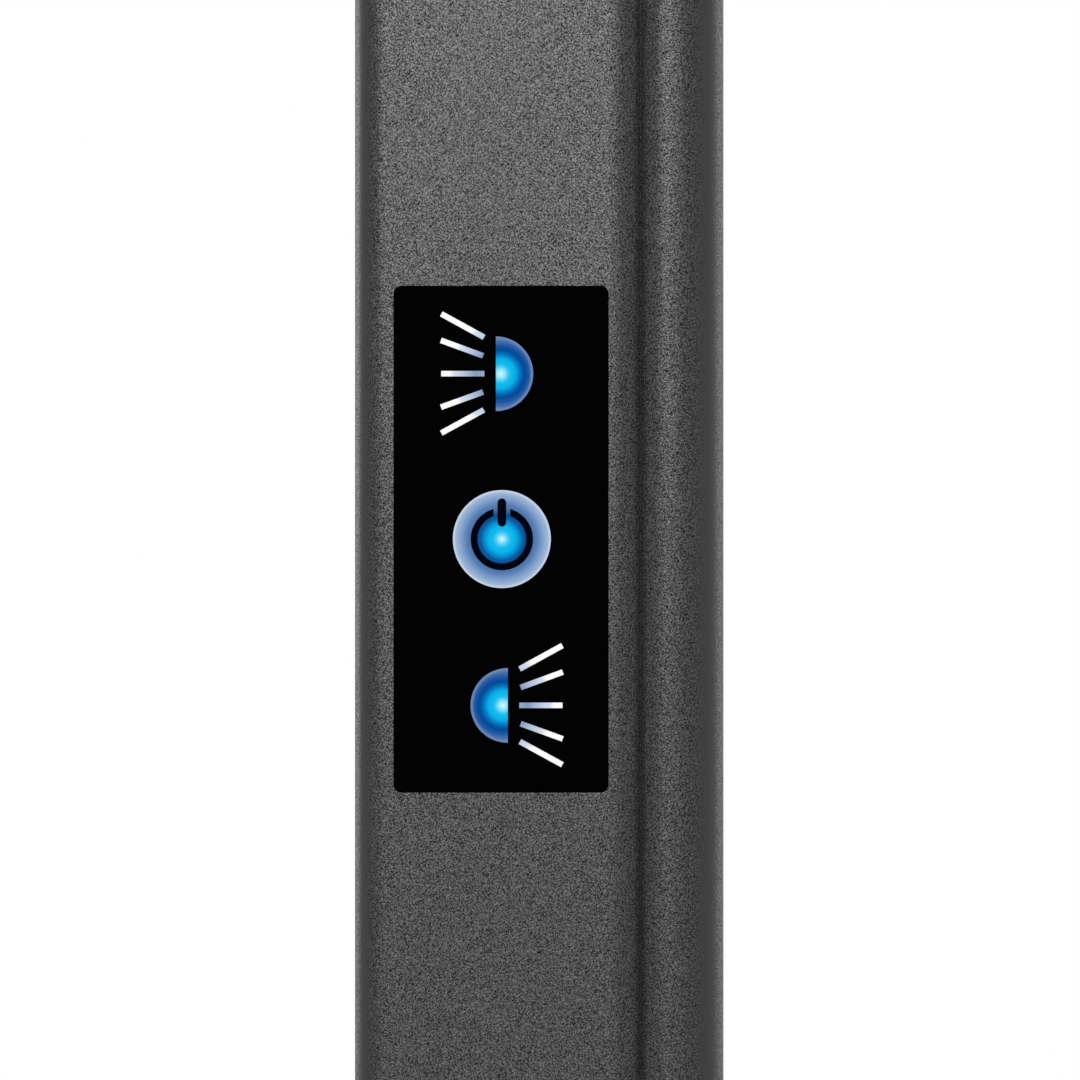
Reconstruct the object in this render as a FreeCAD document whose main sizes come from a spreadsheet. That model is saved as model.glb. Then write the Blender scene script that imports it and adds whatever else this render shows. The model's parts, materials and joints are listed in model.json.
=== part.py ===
"""Two-head floor lamp: weighted base, extruded column with a touch panel, two jointed arms with dome heads.

The frame has +Z up, the panel on the front towards -Y, and the arms along X. The origin is on the floor
under the middle of the base. Every length is in millimetres.
"""
import FreeCAD, Part
import math
import os

import Sketcher

Vector = FreeCAD.Vector

SIZES = {
    # base
    "base_width": 340.0,
    "base_depth": 280.0,
    "base_corner": 58.0,
    "base_edge": 8.0,
    "cover_wall": 1.5,
    "cover_gap": 1.0,
    "cover_lift": 4.5,
    "weight_thickness": 16.0,
    "rubber_radius": 15.0,
    "rubber_height": 5.0,
    "rubber_recess": 2.0,
    "rubber_inset": 37.0,
    # shoe that carries the column
    "shoe_width": 94.0,
    "shoe_depth": 76.0,
    "shoe_thickness": 8.0,
    "shoe_corner": 14.0,
    "spigot_height": 40.0,
    "spigot_wall": 4.0,
    "bolt_spacing_x": 68.0,
    "bolt_spacing_y": 52.0,
    "bolt_radius": 4.0,
    "bolt_head_radius": 6.5,
    "bolt_head_height": 8.0,
    "bolt_depth": 6.0,
    # column extrusion
    "column_width": 52.1,
    "column_depth": 34.0,
    "column_length": 1560.0,
    "column_wall": 2.2,
    "column_web": 3.1,
    "outer_corner": 4.6,
    "chamber_corner": 1.8,
    "flat_end": 9.8,
    "shoulder_radius": 6.2,
    "groove_root": 0.12,
    "bead_inner": 5.4,
    "bead_outer": 7.75,
    "port_radius": 1.6,
    "port_wall": 1.6,
    "port_inset": 2.6,
    # touch panel
    "panel_x": -5.4,
    "panel_height": 1050.0,
    "panel_width": 30.0,
    "panel_length": 71.0,
    "panel_thickness": 2.0,
    "panel_corner": 1.0,
    "panel_gap": 0.1,
    "guide_thickness": 2.5,
    "board_thickness": 1.6,
    "tray_wall": 1.4,
    "tray_floor": 1.6,
    "hook_reach": 3.2,
    "hook_width": 14.0,
    "plug_depth": 3.0,
    "plug_offset": 24.0,
    # driver inside the column
    "driver_width": 22.0,
    "driver_thickness": 20.0,
    "driver_length": 130.0,
    "driver_height": 150.0,
    "terminal_length": 6.0,
    "terminal_depth": 8.0,
    "bracket_sheet": 1.5,
    "bracket_lip": 4.0,
    "bracket_end": 16.0,
    # inlet behind the column
    "inlet_width": 28.0,
    "inlet_depth": 24.0,
    "inlet_height": 36.0,
    "inlet_lift": 2.0,
    "inlet_slot_width": 16.4,
    "inlet_slot_height": 8.8,
    "inlet_slot_depth": 12.0,
    "inlet_web": 3.0,
    "inlet_pin_radius": 1.2,
    "inlet_pin_spacing": 8.6,
    "inlet_screw_spacing": 27.0,
    "lead_radius": 1.8,
    "lead_bend": 10.5,
    # small screws
    "screw_radius": 1.55,
    "screw_head_radius": 3.4,
    "screw_length": 14.0,
    "rear_screw_radius": 1.5,
    "rear_head_radius": 2.9,
    "rear_head_height": 1.9,
    # bracket at the top of the column
    "bracket_overhang": 1.0,
    "bracket_corner": 6.5,
    "lower_plate": 10.0,
    "upper_plate": 6.0,
    "pivot_x": 13.0,
    "pin_radius": 6.0,
    "pin_bore": 3.2,
    "pin_flange_radius": 8.0,
    "pin_flange_height": 2.5,
    "pin_thread_radius": 5.0,
    "nut_width": 16.0,
    "nut_height": 5.0,
    "wire_channel": 2.0,
    "cover_height": 14.0,
    "cover_edge": 5.0,
    "top_wall": 2.0,
    # arms
    "eye_radius": 12.5,
    "eye_height": 24.0,
    "bush_wall": 1.9,
    "bush_length": 6.0,
    "bush_flange": 1.5,
    "bush_flange_radius": 11.5,
    "arm_width": 22.0,
    "arm_height": 14.0,
    "arm_corner": 5.0,
    "arm_wall": 1.6,
    "neck_inset": 1.0,
    "arm_start": 31.0,
    "arm_length": 380.0,
    "plug_length": 30.0,
    "collar_length": 3.0,
    "wire_bore": 3.0,
    "journal_radius": 6.0,
    "journal_length": 21.0,
    "journal_groove": 5.4,
    "journal_groove_depth": 1.2,
    # swivel at the end of each arm
    "swivel_radius": 12.0,
    "swivel_length": 30.0,
    "swivel_floor": 4.0,
    "grub_radius": 2.5,
    "tongue_thickness": 8.0,
    "tongue_radius": 9.0,
    "tongue_reach": 16.0,
    # tilt joint
    "tilt_radius": 4.0,
    "tilt_head_radius": 7.0,
    "tilt_head_height": 4.0,
    "tilt_nut_height": 7.0,
    "washer_thickness": 1.0,
    "ear_thickness": 5.0,
    "fork_neck": 20.0,
    "fork_flange": 4.0,
    "fork_radius": 16.0,
    "fork_screw_circle": 11.5,
    # dome heads
    "dome_radius": 72.0,
    "dome_wall": 2.0,
    "dome_flat": 26.0,
    "dome_skirt": 4.0,
    "dome_wire_hole": 5.0,
    "vent_count": 24.0,
    "vent_inner": 35.0,
    "vent_outer": 50.0,
    "vent_width": 2.4,
    "post_circle": 45.0,
    "post_radius": 3.6,
    "sink_drop": 34.0,
    "sink_radius": 56.0,
    "sink_plate": 4.0,
    "fin_count": 24.0,
    "fin_inner": 16.0,
    "fin_outer": 39.0,
    "fin_height": 15.0,
    "fin_thickness": 1.6,
    "led_radius": 33.0,
    "led_circle": 22.0,
    "led_side": 5.0,
    "led_rise": 0.9,
    "led_count": 10.0,
    "reflector_radius": 36.0,
    "reflector_wall": 1.2,
    "reflector_mouth": 63.0,
    "diffuser_thickness": 2.4,
    "diffuser_radius": 69.3,
    "trim_lip": 1.6,
    "trim_spigot": 1.9,
    "trim_opening": 66.0,
    # clearances
    "running_gap": 0.05,
    "side_gap": 0.15,
    "seat_gap": 0.2,
    # edges broken under the coat
    "edge_break": 0.8,
}

document = FreeCAD.newDocument("FloorLamp")
sheet = document.addObject("Spreadsheet::Sheet", "Sizes")
for row, (name, value) in enumerate(SIZES.items(), start=1):
    sheet.set(f"A{row}", name)
    sheet.set(f"B{row}", str(value))
    sheet.setAlias(f"B{row}", name)
document.recompute()


def number(length):
    """The plain value of a length."""
    return length.value if isinstance(length, Length) else float(length)


def formula(length):
    """The sheet formula of a length."""
    return length.formula if isinstance(length, Length) else f"({float(length)})"


class Length:
    """A value that keeps the sheet formula it comes from, so that what is worked out stays tied to it."""

    def __init__(self, value, formula):
        self.value = value
        self.formula = formula

    def __add__(self, other):
        return Length(self.value + number(other), f"({self.formula} + {formula(other)})")

    def __radd__(self, other):
        return Length(number(other) + self.value, f"({formula(other)} + {self.formula})")

    def __sub__(self, other):
        return Length(self.value - number(other), f"({self.formula} - {formula(other)})")

    def __rsub__(self, other):
        return Length(number(other) - self.value, f"({formula(other)} - {self.formula})")

    def __mul__(self, other):
        return Length(self.value * number(other), f"({self.formula} * {formula(other)})")

    def __rmul__(self, other):
        return Length(number(other) * self.value, f"({formula(other)} * {self.formula})")

    def __truediv__(self, other):
        return Length(self.value / number(other), f"({self.formula} / {formula(other)})")

    def __neg__(self):
        return Length(-self.value, f"(0 - {self.formula})")


def root(length):
    """The square root of a length squared."""
    return Length(math.sqrt(number(length)), f"sqrt({formula(length)})")


class Sheet:
    """The cells of the sheet as lengths, by name."""

    def __getattr__(self, name):
        return Length(float(sheet.get(name)), f"Sizes.{name}")


size = Sheet()

# Heights of the stack, from the floor up
weight_bottom = size.rubber_height - size.rubber_recess
weight_top = weight_bottom + size.weight_thickness
cover_top = weight_top + size.cover_wall
column_bottom = cover_top + size.shoe_thickness
column_top = column_bottom + size.column_length
plate_top = column_top + size.lower_plate
eye_stack = size.eye_height + 2 * (size.bush_flange + size.side_gap)
arm_axis = plate_top + eye_stack / 2
upper_bottom = plate_top + eye_stack
upper_top = upper_bottom + size.upper_plate

# The column's section: a main chamber, then a groove and a side bead
half_width = size.column_width / 2
half_depth = size.column_depth / 2
bead_x = half_width - size.bead_outer
chamber_left = size.column_wall - half_width
chamber_right = bead_x - size.bead_inner + size.column_wall - size.column_web
chamber_x = (chamber_left + chamber_right) / 2
chamber_half = half_depth - size.column_wall
port_left = chamber_left + size.port_inset
port_right = chamber_right - size.port_inset
port_y = chamber_half - size.port_inset
port_boss = size.port_radius + size.port_wall
port_places = [(x, y) for x in (port_left, port_right) for y in (-port_y, port_y)]

# The touch panel's stack, as distances from the column's middle towards the front
panel_back = half_depth - size.panel_thickness
guide_back = panel_back - size.guide_thickness
board_back = guide_back - size.board_thickness
tray_back = board_back - size.tray_floor
tray_width = size.panel_width - 4 * size.panel_gap
tray_length = size.panel_length - 4 * size.panel_gap
tray_inner_width = tray_width - 2 * size.tray_wall
tray_inner_length = tray_length - 2 * size.tray_wall

# The driver, its bracket and the inlet
bracket_front = chamber_half - size.bracket_sheet
driver_y = bracket_front - size.driver_thickness / 2
driver_top = size.driver_height + size.driver_length
inlet_bottom = column_bottom + size.inlet_lift
inlet_z = inlet_bottom + size.inlet_height / 2
inlet_back = half_depth + size.inlet_depth
slot_floor = inlet_back - size.inlet_slot_depth
bracket_screw_heights = [size.driver_height - size.bracket_end / 2, driver_top + size.bracket_end / 2]
inlet_screw_heights = [inlet_z - size.inlet_screw_spacing / 2, inlet_z + size.inlet_screw_spacing / 2]

# Along an arm, from the column's axis outwards
arm_end = size.arm_start + size.arm_length
tip_face = arm_end + 2 * size.collar_length
swivel_start = tip_face + 2 * size.side_gap
swivel_end = swivel_start + size.swivel_length
tilt_x = swivel_end + size.tongue_reach
groove_x = tip_face + size.journal_length / 2

# Across and down from a tilt joint to its head
washer_face = size.tongue_thickness / 2 + size.side_gap
ear_inner = washer_face + size.washer_thickness
ear_outer = ear_inner + size.ear_thickness
dome_top = -(size.fork_neck + size.fork_flange)
dome_centre = dome_top - root(size.dome_radius * size.dome_radius - size.dome_flat * size.dome_flat)
dome_inner = size.dome_radius - size.dome_wall
dome_rim = dome_centre - size.dome_skirt
sink_top = dome_top - size.sink_drop
sink_bottom = sink_top - size.sink_plate
trim_top = dome_rim + size.trim_spigot
diffuser_top = trim_top + size.diffuser_thickness


def bind(thing, name, length):
    """Give a property its value, tied to the sheet where the value comes from there."""
    if isinstance(length, Length):
        thing.setExpression(name, length.formula)
    elif name == "AttachmentOffset.Base.z":
        thing.AttachmentOffset = FreeCAD.Placement(Vector(0, 0, length), FreeCAD.Rotation())
    else:
        setattr(thing, name, length)


def new_body(label):
    """A body for one sub-part."""
    body = document.addObject("PartDesign::Body", label)
    body.Label = label
    return body


def sketch_on(body, view, start):
    """A sketch seen from the top, front or side, start away from the origin along its normal.

    The top sketch looks along -Z with its normal up, the front one has its normal towards -Y, and the side
    one has its normal towards +X, with Y to its right and Z up.
    """
    role = {"top": "XY_Plane", "front": "XZ_Plane", "side": "YZ_Plane"}[view]
    plane = [feature for feature in body.Origin.OriginFeatures if feature.Role == role][0]
    sketch = body.newObject("Sketcher::SketchObject", f"{body.Label}_{view}_sketch")
    sketch.AttachmentSupport = (plane, [""])
    sketch.MapMode = "FlatFace"
    bind(sketch, "AttachmentOffset.Base.z", start)
    return sketch


def fix_point(sketch, geometry, point, x, y):
    """Hold one point of a sketch at x and y."""
    for kind, length, axis in (("DistanceX", x, -2), ("DistanceY", y, -1)):
        if isinstance(length, Length):
            index = sketch.addConstraint(
                Sketcher.Constraint(kind, -1, 1, geometry, point, number(length))
            )
            sketch.setExpression(f"Constraints[{index}]", length.formula)
        elif length == 0:
            sketch.addConstraint(Sketcher.Constraint("PointOnObject", geometry, point, axis))
        else:
            sketch.addConstraint(Sketcher.Constraint(kind, -1, 1, geometry, point, float(length)))


def fix_radius(sketch, geometry, radius):
    """Give a circle or an arc its radius."""
    index = sketch.addConstraint(Sketcher.Constraint("Radius", geometry, number(radius)))
    if isinstance(radius, Length):
        sketch.setExpression(f"Constraints[{index}]", radius.formula)


def circle(sketch, x, y, radius):
    """A circle held at its middle."""
    middle = Vector(number(x), number(y), 0)
    geometry = sketch.addGeometry(Part.Circle(middle, Vector(0, 0, 1), number(radius)), False)
    fix_point(sketch, geometry, 3, x, y)
    fix_radius(sketch, geometry, radius)


def circles(sketch, places, radius):
    """Equal circles at each of the places."""
    for x, y in places:
        circle(sketch, x, y, radius)


def arc_between(start, end, radius):
    """The arc under half a turn from start to end, to the left of its middle when radius is positive."""
    chord = end - start
    reach = math.sqrt(max(radius * radius - chord.Length * chord.Length / 4, 0.0))
    left = Vector(-chord.y, chord.x, 0).normalize()
    middle = (start + end) / 2 + left * math.copysign(reach, radius)
    first, last = (start, end) if radius > 0 else (end, start)
    angles = [math.atan2(point.y - middle.y, point.x - middle.x) for point in (first, last)]
    return Part.ArcOfCircle(Part.Circle(middle, Vector(0, 0, 1), abs(radius)), *angles)


def loop(sketch, corners):
    """A closed outline through corners, given as x, y and, where an arc leaves the corner, its radius.

    A positive radius bends the side to the left, as a rounded corner of an outline drawn against the clock
    does, and a negative one bends it to the right.
    """
    ends = []
    arcs = []
    for index, corner in enumerate(corners):
        following = corners[(index + 1) % len(corners)]
        start = Vector(number(corner[0]), number(corner[1]), 0)
        end = Vector(number(following[0]), number(following[1]), 0)
        if len(corner) == 2:
            geometry = sketch.addGeometry(Part.LineSegment(start, end), False)
            ends.append((geometry, 1, 2))
        else:
            radius = number(corner[2])
            geometry = sketch.addGeometry(arc_between(start, end, radius), False)
            ends.append((geometry, 1, 2) if radius > 0 else (geometry, 2, 1))
            arcs.append((geometry, corner, following, (end - start).Length))
    for (geometry, _, last), (neighbour, first, _) in zip(ends, ends[1:] + ends[:1]):
        sketch.addConstraint(Sketcher.Constraint("Coincident", geometry, last, neighbour, first))
    for (geometry, first, _), corner in zip(ends, corners):
        fix_point(sketch, geometry, first, corner[0], corner[1])
    for geometry, corner, following, chord in arcs:
        if chord < 2 * abs(number(corner[2])) - 1e-6:
            fix_radius(sketch, geometry, corner[2] if number(corner[2]) > 0 else -corner[2])
        else:
            half_turn(sketch, geometry, corner, following)


def half_turn(sketch, geometry, corner, following):
    """Hold the middle of a half circle, whose two ends are already held, between them."""
    upright = abs(number(corner[0]) - number(following[0])) < 1e-6
    kind, place = ("DistanceX", corner[0]) if upright else ("DistanceY", corner[1])
    index = sketch.addConstraint(Sketcher.Constraint(kind, -1, 1, geometry, 3, number(place)))
    if isinstance(place, Length):
        sketch.setExpression(f"Constraints[{index}]", place.formula)


def rectangle(sketch, x, y, width, depth, corner=None):
    """A rectangle about x and y, with rounded corners where corner gives their radius."""
    left, right = x - width / 2, x + width / 2
    near, far = y - depth / 2, y + depth / 2
    if corner is None:
        loop(sketch, [(left, near), (right, near), (right, far), (left, far)])
        return
    loop(
        sketch,
        [
            (left + corner, near),
            (right - corner, near, corner),
            (right, near + corner),
            (right, far - corner, corner),
            (right - corner, far),
            (left + corner, far, corner),
            (left, far - corner),
            (left, near + corner, corner),
        ],
    )


def flat_slot(sketch, x, y, width, height):
    """A slot about x and y, longer in x, with half-round ends."""
    radius = height / 2
    reach = width / 2 - radius
    loop(
        sketch,
        [
            (x - reach, y - radius),
            (x + reach, y - radius, radius),
            (x + reach, y + radius),
            (x - reach, y + radius, radius),
        ],
    )


def solid(body, view, start, length, draw, taper=0.0):
    """Add the outline that draw makes, from start over length along the sketch's normal."""
    sketch = sketch_on(body, view, start)
    draw(sketch)
    pad = body.newObject("PartDesign::Pad", f"{body.Label}_pad")
    pad.Profile = sketch
    bind(pad, "Length", length)
    pad.TaperAngle = taper
    sketch.Visibility = False
    return pad


def cut(body, view, start, length, draw, taper=0.0):
    """Take away the outline that draw makes, from start over length along the sketch's normal."""
    sketch = sketch_on(body, view, start)
    draw(sketch)
    pocket = body.newObject("PartDesign::Pocket", f"{body.Label}_pocket")
    pocket.Profile = sketch
    pocket.Reversed = True
    bind(pocket, "Length", length)
    pocket.TaperAngle = taper
    sketch.Visibility = False
    return pocket


def turned(body, draw, kind="Revolution"):
    """Turn the outline that draw makes in the front view about the upright axis, adding or as a Groove."""
    sketch = sketch_on(body, "front", 0)
    draw(sketch)
    feature = body.newObject(f"PartDesign::{kind}", f"{body.Label}_turned")
    feature.Profile = sketch
    feature.ReferenceAxis = (sketch, ["V_Axis"])
    feature.Angle = 360
    sketch.Visibility = False
    return feature


def around(body, feature, count):
    """Repeat a feature evenly about the body's upright axis."""
    pattern = body.newObject("PartDesign::PolarPattern", f"{body.Label}_pattern")
    pattern.Originals = [feature]
    axis = [item for item in body.Origin.OriginFeatures if item.Role == "Z_Axis"][0]
    pattern.Axis = (axis, [""])
    pattern.Angle = 360
    bind(pattern, "Occurrences", count)
    body.Tip = pattern
    return pattern


def edges_where(body, wanted):
    """The names of the edges of the body's last feature for which wanted is true."""
    document.recompute()
    return [f"Edge{i}" for i, edge in enumerate(body.Tip.Shape.Edges, start=1) if wanted(edge)]


def dress(body, kind, amount, wanted):
    """Fillet or chamfer the wanted edges of the body."""
    names = edges_where(body, wanted)
    if not names:
        raise RuntimeError(f"{body.Label}: no edge to dress")
    base = body.Tip
    feature = body.newObject(f"PartDesign::{kind}", f"{body.Label}_{kind}")
    feature.Base = (base, names)
    bind(feature, "Radius" if kind == "Fillet" else "Size", amount)
    body.Tip = feature
    return feature


def level_edge(height):
    """A test for edges that lie level at a height."""
    wanted_z = number(height)

    def test(edge):
        box = edge.BoundBox
        return abs(box.ZMin - wanted_z) < 1e-4 and abs(box.ZMax - wanted_z) < 1e-4

    return test


def place(body, side, x, height):
    """Put a body built about its own joint at x and height, turned half round on the left."""
    sign = 1 if side == "right" else -1
    angle = 0 if side == "right" else 180
    body.Placement = FreeCAD.Placement(Vector(0, 0, 0), FreeCAD.Rotation(Vector(0, 0, 1), angle))
    if isinstance(x, Length):
        bind(body, "Placement.Base.x", sign * x)
    bind(body, "Placement.Base.z", height)


def corner_places(x, y):
    """The four places at plus and minus x and y."""
    return [(i * x, j * y) for i in (-1, 1) for j in (-1, 1)]


# Base


def make_rubber_feet():
    """Four rubber feet let into the underside of the weight."""
    body = new_body("rubber_feet")
    places = corner_places(weight_half(size.base_width), weight_half(size.base_depth))
    solid(body, "top", 0, size.rubber_height, lambda s: circles(s, places, size.rubber_radius))
    dress(body, "Chamfer", size.rubber_recess / 2, level_edge(0))


def weight_half(overall):
    """How far from the middle a rubber foot stands, for one side of the base."""
    return overall / 2 - size.cover_wall - size.cover_gap - size.rubber_inset


def make_base_weight():
    """A cast plate with counterbores for the shoe's bolts and round recesses for the feet."""
    body = new_body("base_weight")
    inset = size.cover_wall + size.cover_gap
    width = size.base_width - 2 * inset
    depth = size.base_depth - 2 * inset
    solid(body, "top", weight_bottom, size.weight_thickness,
        lambda s: rectangle(s, 0, 0, width, depth, size.base_corner - inset))
    dress(body, "Fillet", size.base_edge - inset, level_edge(weight_top))
    feet = corner_places(weight_half(size.base_width), weight_half(size.base_depth))
    cut(body, "top", weight_bottom, size.rubber_recess,
        lambda s: circles(s, feet, size.rubber_radius + size.seat_gap))
    bolts = corner_places(size.bolt_spacing_x / 2, size.bolt_spacing_y / 2)
    cut(body, "top", weight_bottom, size.bolt_head_height + 1,
        lambda s: circles(s, bolts, size.bolt_head_radius + size.seat_gap))
    cut(body, "top", weight_bottom, size.weight_thickness,
        lambda s: circles(s, bolts, size.bolt_radius + size.seat_gap))


def make_base_cover():
    """A pressed cover with a rolled upper edge, open below."""
    body = new_body("base_cover")
    height = cover_top - size.cover_lift
    solid(body, "top", size.cover_lift, height,
        lambda s: rectangle(s, 0, 0, size.base_width, size.base_depth, size.base_corner))
    width = size.base_width - 2 * size.cover_wall
    depth = size.base_depth - 2 * size.cover_wall
    cut(body, "top", size.cover_lift, weight_top - size.cover_lift,
        lambda s: rectangle(s, 0, 0, width, depth, size.base_corner - size.cover_wall))
    dress(body, "Fillet", size.base_edge - size.cover_wall, level_edge(weight_top))
    dress(body, "Fillet", size.base_edge, level_edge(cover_top))
    bolts = corner_places(size.bolt_spacing_x / 2, size.bolt_spacing_y / 2)
    cut(body, "top", weight_top - 1, size.cover_wall + 2,
        lambda s: circles(s, bolts, size.bolt_radius + size.seat_gap))


def make_base_bolts():
    """Four socket-head bolts from below, through the weight and the cover into the shoe."""
    body = new_body("base_bolts")
    bolts = corner_places(size.bolt_spacing_x / 2, size.bolt_spacing_y / 2)
    seat = weight_bottom + size.bolt_head_height + 1
    head = seat - size.bolt_head_height
    shank = cover_top + size.bolt_depth - seat
    solid(body, "top", head, size.bolt_head_height, lambda s: circles(s, bolts, size.bolt_head_radius))
    solid(body, "top", seat, shank, lambda s: circles(s, bolts, size.bolt_radius))
    cut(body, "top", head, size.bolt_head_height / 2,
        lambda s: [hexagon(s, x, y, size.bolt_head_radius) for x, y in bolts])


def hexagon(sketch, x, y, width):
    """A hexagon about x and y, width across its flats, with two flats square to x."""
    radius = width / math.sqrt(3)
    half = width / 2
    loop(
        sketch,
        [
            (x + half, y - radius / 2),
            (x + half, y + radius / 2),
            (x, y + radius),
            (x - half, y + radius / 2),
            (x - half, y - radius / 2),
            (x, y - radius),
        ],
    )


def make_column_shoe():
    """A cast foot for the column, with a hollow spigot that stands inside its main chamber."""
    body = new_body("column_shoe")
    solid(body, "top", cover_top, size.shoe_thickness,
        lambda s: rectangle(s, 0, 0, size.shoe_width, size.shoe_depth, size.shoe_corner))
    dress(body, "Fillet", size.shoe_thickness / 2, level_edge(column_bottom))
    left = port_left + port_boss + size.seat_gap
    right = port_right - port_boss - size.seat_gap
    width = right - left
    depth = 2 * (chamber_half - size.seat_gap)
    solid(body, "top", column_bottom - 1, size.spigot_height + 1,
        lambda s: rectangle(s, chamber_x, 0, width, depth))
    cut(body, "top", column_bottom, size.spigot_height,
        lambda s: rectangle(s,
            chamber_x, 0, width - 2 * size.spigot_wall, depth - 2 * size.spigot_wall))
    cut(body, "front", -half_depth, size.spigot_wall * 2,
        lambda s: circle(s, size.panel_x, inlet_z, size.inlet_pin_spacing / 2))
    screws = [(chamber_x, z) for z in inlet_screw_heights]
    cut(body, "front", -half_depth, size.spigot_wall * 2,
        lambda s: circles(s, screws, size.rear_screw_radius + size.running_gap))
    bolts = corner_places(size.bolt_spacing_x / 2, size.bolt_spacing_y / 2)
    cut(body, "top", cover_top, size.bolt_depth + size.seat_gap,
        lambda s: circles(s, bolts, size.bolt_radius + size.running_gap))
    cut(body, "top", cover_top, size.shoe_thickness,
        lambda s: circles(s, port_places, size.screw_radius + size.running_gap))
    cut(body, "top", cover_top, size.screw_head_radius - size.screw_radius,
        lambda s: circles(s, port_places, size.screw_head_radius + size.running_gap), taper=-45.0)


def make_shoe_screws():
    """Four countersunk screws from under the shoe up into the column's screw ports."""
    body = new_body("shoe_screws")
    cone = size.screw_head_radius - size.screw_radius
    solid(body, "top", cover_top, cone,
        lambda s: circles(s, port_places, size.screw_head_radius), taper=-45.0)
    solid(body, "top", cover_top + cone, size.shoe_thickness - cone + size.screw_length,
        lambda s: circles(s, port_places, size.screw_radius))


# Column


def column_outline(sketch):
    """The column's outer line, alike front and back: the main chamber, a round groove and the side bead.

    The flat front rounds down into the groove on the shoulder's radius. The bead rises out of the groove on
    its inner radius and rolls off to the side on its larger outer one.
    """
    right, front = number(half_width), -number(half_depth)
    outer, fall = number(size.outer_corner), number(size.shoulder_radius)
    rise, roll, root_radius = number(size.bead_inner), number(size.bead_outer), number(size.groove_root)
    corner = Vector(outer - right, front + outer, 0)
    shoulder = Vector(number(size.flat_end), front + fall, 0)
    slope = Vector(number(bead_x), front + rise, 0)
    side = Vector(number(bead_x), front + roll, 0)
    across = slope - shoulder
    near, far = fall + root_radius, rise + root_radius
    along = (near * near - far * far + across.Length**2) / (2 * across.Length)
    aside = math.sqrt(near * near - along * along)
    unit = Vector(across).normalize()
    groove = shoulder + unit * along + Vector(unit.y, -unit.x, 0) * aside

    def angle(middle, target):
        return math.atan2(target.y - middle.y, target.x - middle.x)

    def arc(middle, radius, first, last):
        return Part.ArcOfCircle(Part.Circle(middle, Vector(0, 0, 1), radius), first, last)

    def mirrored(point):
        return Vector(point.x, -point.y, 0)

    quarter = math.pi / 2
    to_groove = angle(shoulder, groove)
    from_groove = angle(slope, groove)
    back_corner, back_shoulder, back_groove = mirrored(corner), mirrored(shoulder), mirrored(groove)
    back_slope, back_side = mirrored(slope), mirrored(side)
    lines = [
        arc(corner, outer, 2 * quarter, 3 * quarter),
        Part.LineSegment(Vector(corner.x, front, 0), Vector(shoulder.x, front, 0)),
        arc(shoulder, fall, -quarter, to_groove),
        arc(groove, root_radius, angle(groove, slope), angle(groove, shoulder)),
        arc(slope, rise, from_groove, -quarter),
        arc(side, roll, -quarter, 0),
        Part.LineSegment(Vector(right, side.y, 0), Vector(right, -side.y, 0)),
        arc(back_side, roll, 0, quarter),
        arc(back_slope, rise, quarter, -from_groove),
        arc(back_groove, root_radius, angle(back_groove, back_shoulder), angle(back_groove, back_slope)),
        arc(back_shoulder, fall, -to_groove, quarter),
        Part.LineSegment(Vector(shoulder.x, -front, 0), Vector(corner.x, -front, 0)),
        arc(back_corner, outer, quarter, 2 * quarter),
        Part.LineSegment(Vector(-right, -corner.y, 0), Vector(-right, corner.y, 0)),
    ]
    for line in lines:
        sketch.addGeometry(line, False)
    backwards = (3, 9)
    for index in range(len(lines)):
        following = (index + 1) % len(lines)
        last = 1 if index in backwards else 2
        first = 2 if following in backwards else 1
        sketch.addConstraint(Sketcher.Constraint("Tangent", index, last, following, first))
    for level in (1, 11):
        sketch.addConstraint(Sketcher.Constraint("Horizontal", level))
    for upright in (6, 13):
        sketch.addConstraint(Sketcher.Constraint("Vertical", upright))
    radii = {
        0: size.outer_corner,
        2: size.shoulder_radius,
        3: size.groove_root,
        4: size.bead_inner,
        5: size.bead_outer,
    }
    for index, radius in radii.items():
        fix_radius(sketch, index, radius)
        sketch.addConstraint(Sketcher.Constraint("Equal", index, 12 - index))
    places = [
        ("DistanceX", 13, 1, -half_width),
        ("DistanceX", 6, 1, half_width),
        ("DistanceY", 1, 1, -half_depth),
        ("DistanceY", 11, 1, half_depth),
        ("DistanceX", 2, 3, size.flat_end),
        ("DistanceX", 10, 3, size.flat_end),
        ("DistanceX", 4, 3, bead_x),
        ("DistanceX", 8, 3, bead_x),
        ("DistanceY", 4, 3, size.bead_inner - half_depth),
        ("DistanceY", 8, 3, half_depth - size.bead_inner),
    ]
    for kind, index, point, length in places:
        constraint = Sketcher.Constraint(kind, -1, 1, index, point, length.value)
        sketch.setExpression(f"Constraints[{sketch.addConstraint(constraint)}]", length.formula)


def chamber_outline(sketch):
    """The main chamber's inner line."""
    outer = size.outer_corner - size.column_wall
    corner = size.chamber_corner
    loop(
        sketch,
        [
            (chamber_left + outer, -chamber_half),
            (chamber_right - corner, -chamber_half, corner),
            (chamber_right, corner - chamber_half),
            (chamber_right, chamber_half - corner, corner),
            (chamber_right - corner, chamber_half),
            (chamber_left + outer, chamber_half, outer),
            (chamber_left, chamber_half - outer),
            (chamber_left, outer - chamber_half, outer),
        ],
    )


def duct_outline(sketch):
    """The side bead's inner line, one wall inside its two radii."""
    rise = size.bead_inner - size.column_wall
    roll = size.bead_outer - size.column_wall
    loop(
        sketch,
        [
            (bead_x - rise, rise - chamber_half, rise),
            (bead_x, -chamber_half, roll),
            (bead_x + roll, roll - chamber_half),
            (bead_x + roll, chamber_half - roll, roll),
            (bead_x, chamber_half, rise),
            (bead_x - rise, chamber_half - rise),
        ],
    )


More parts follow.
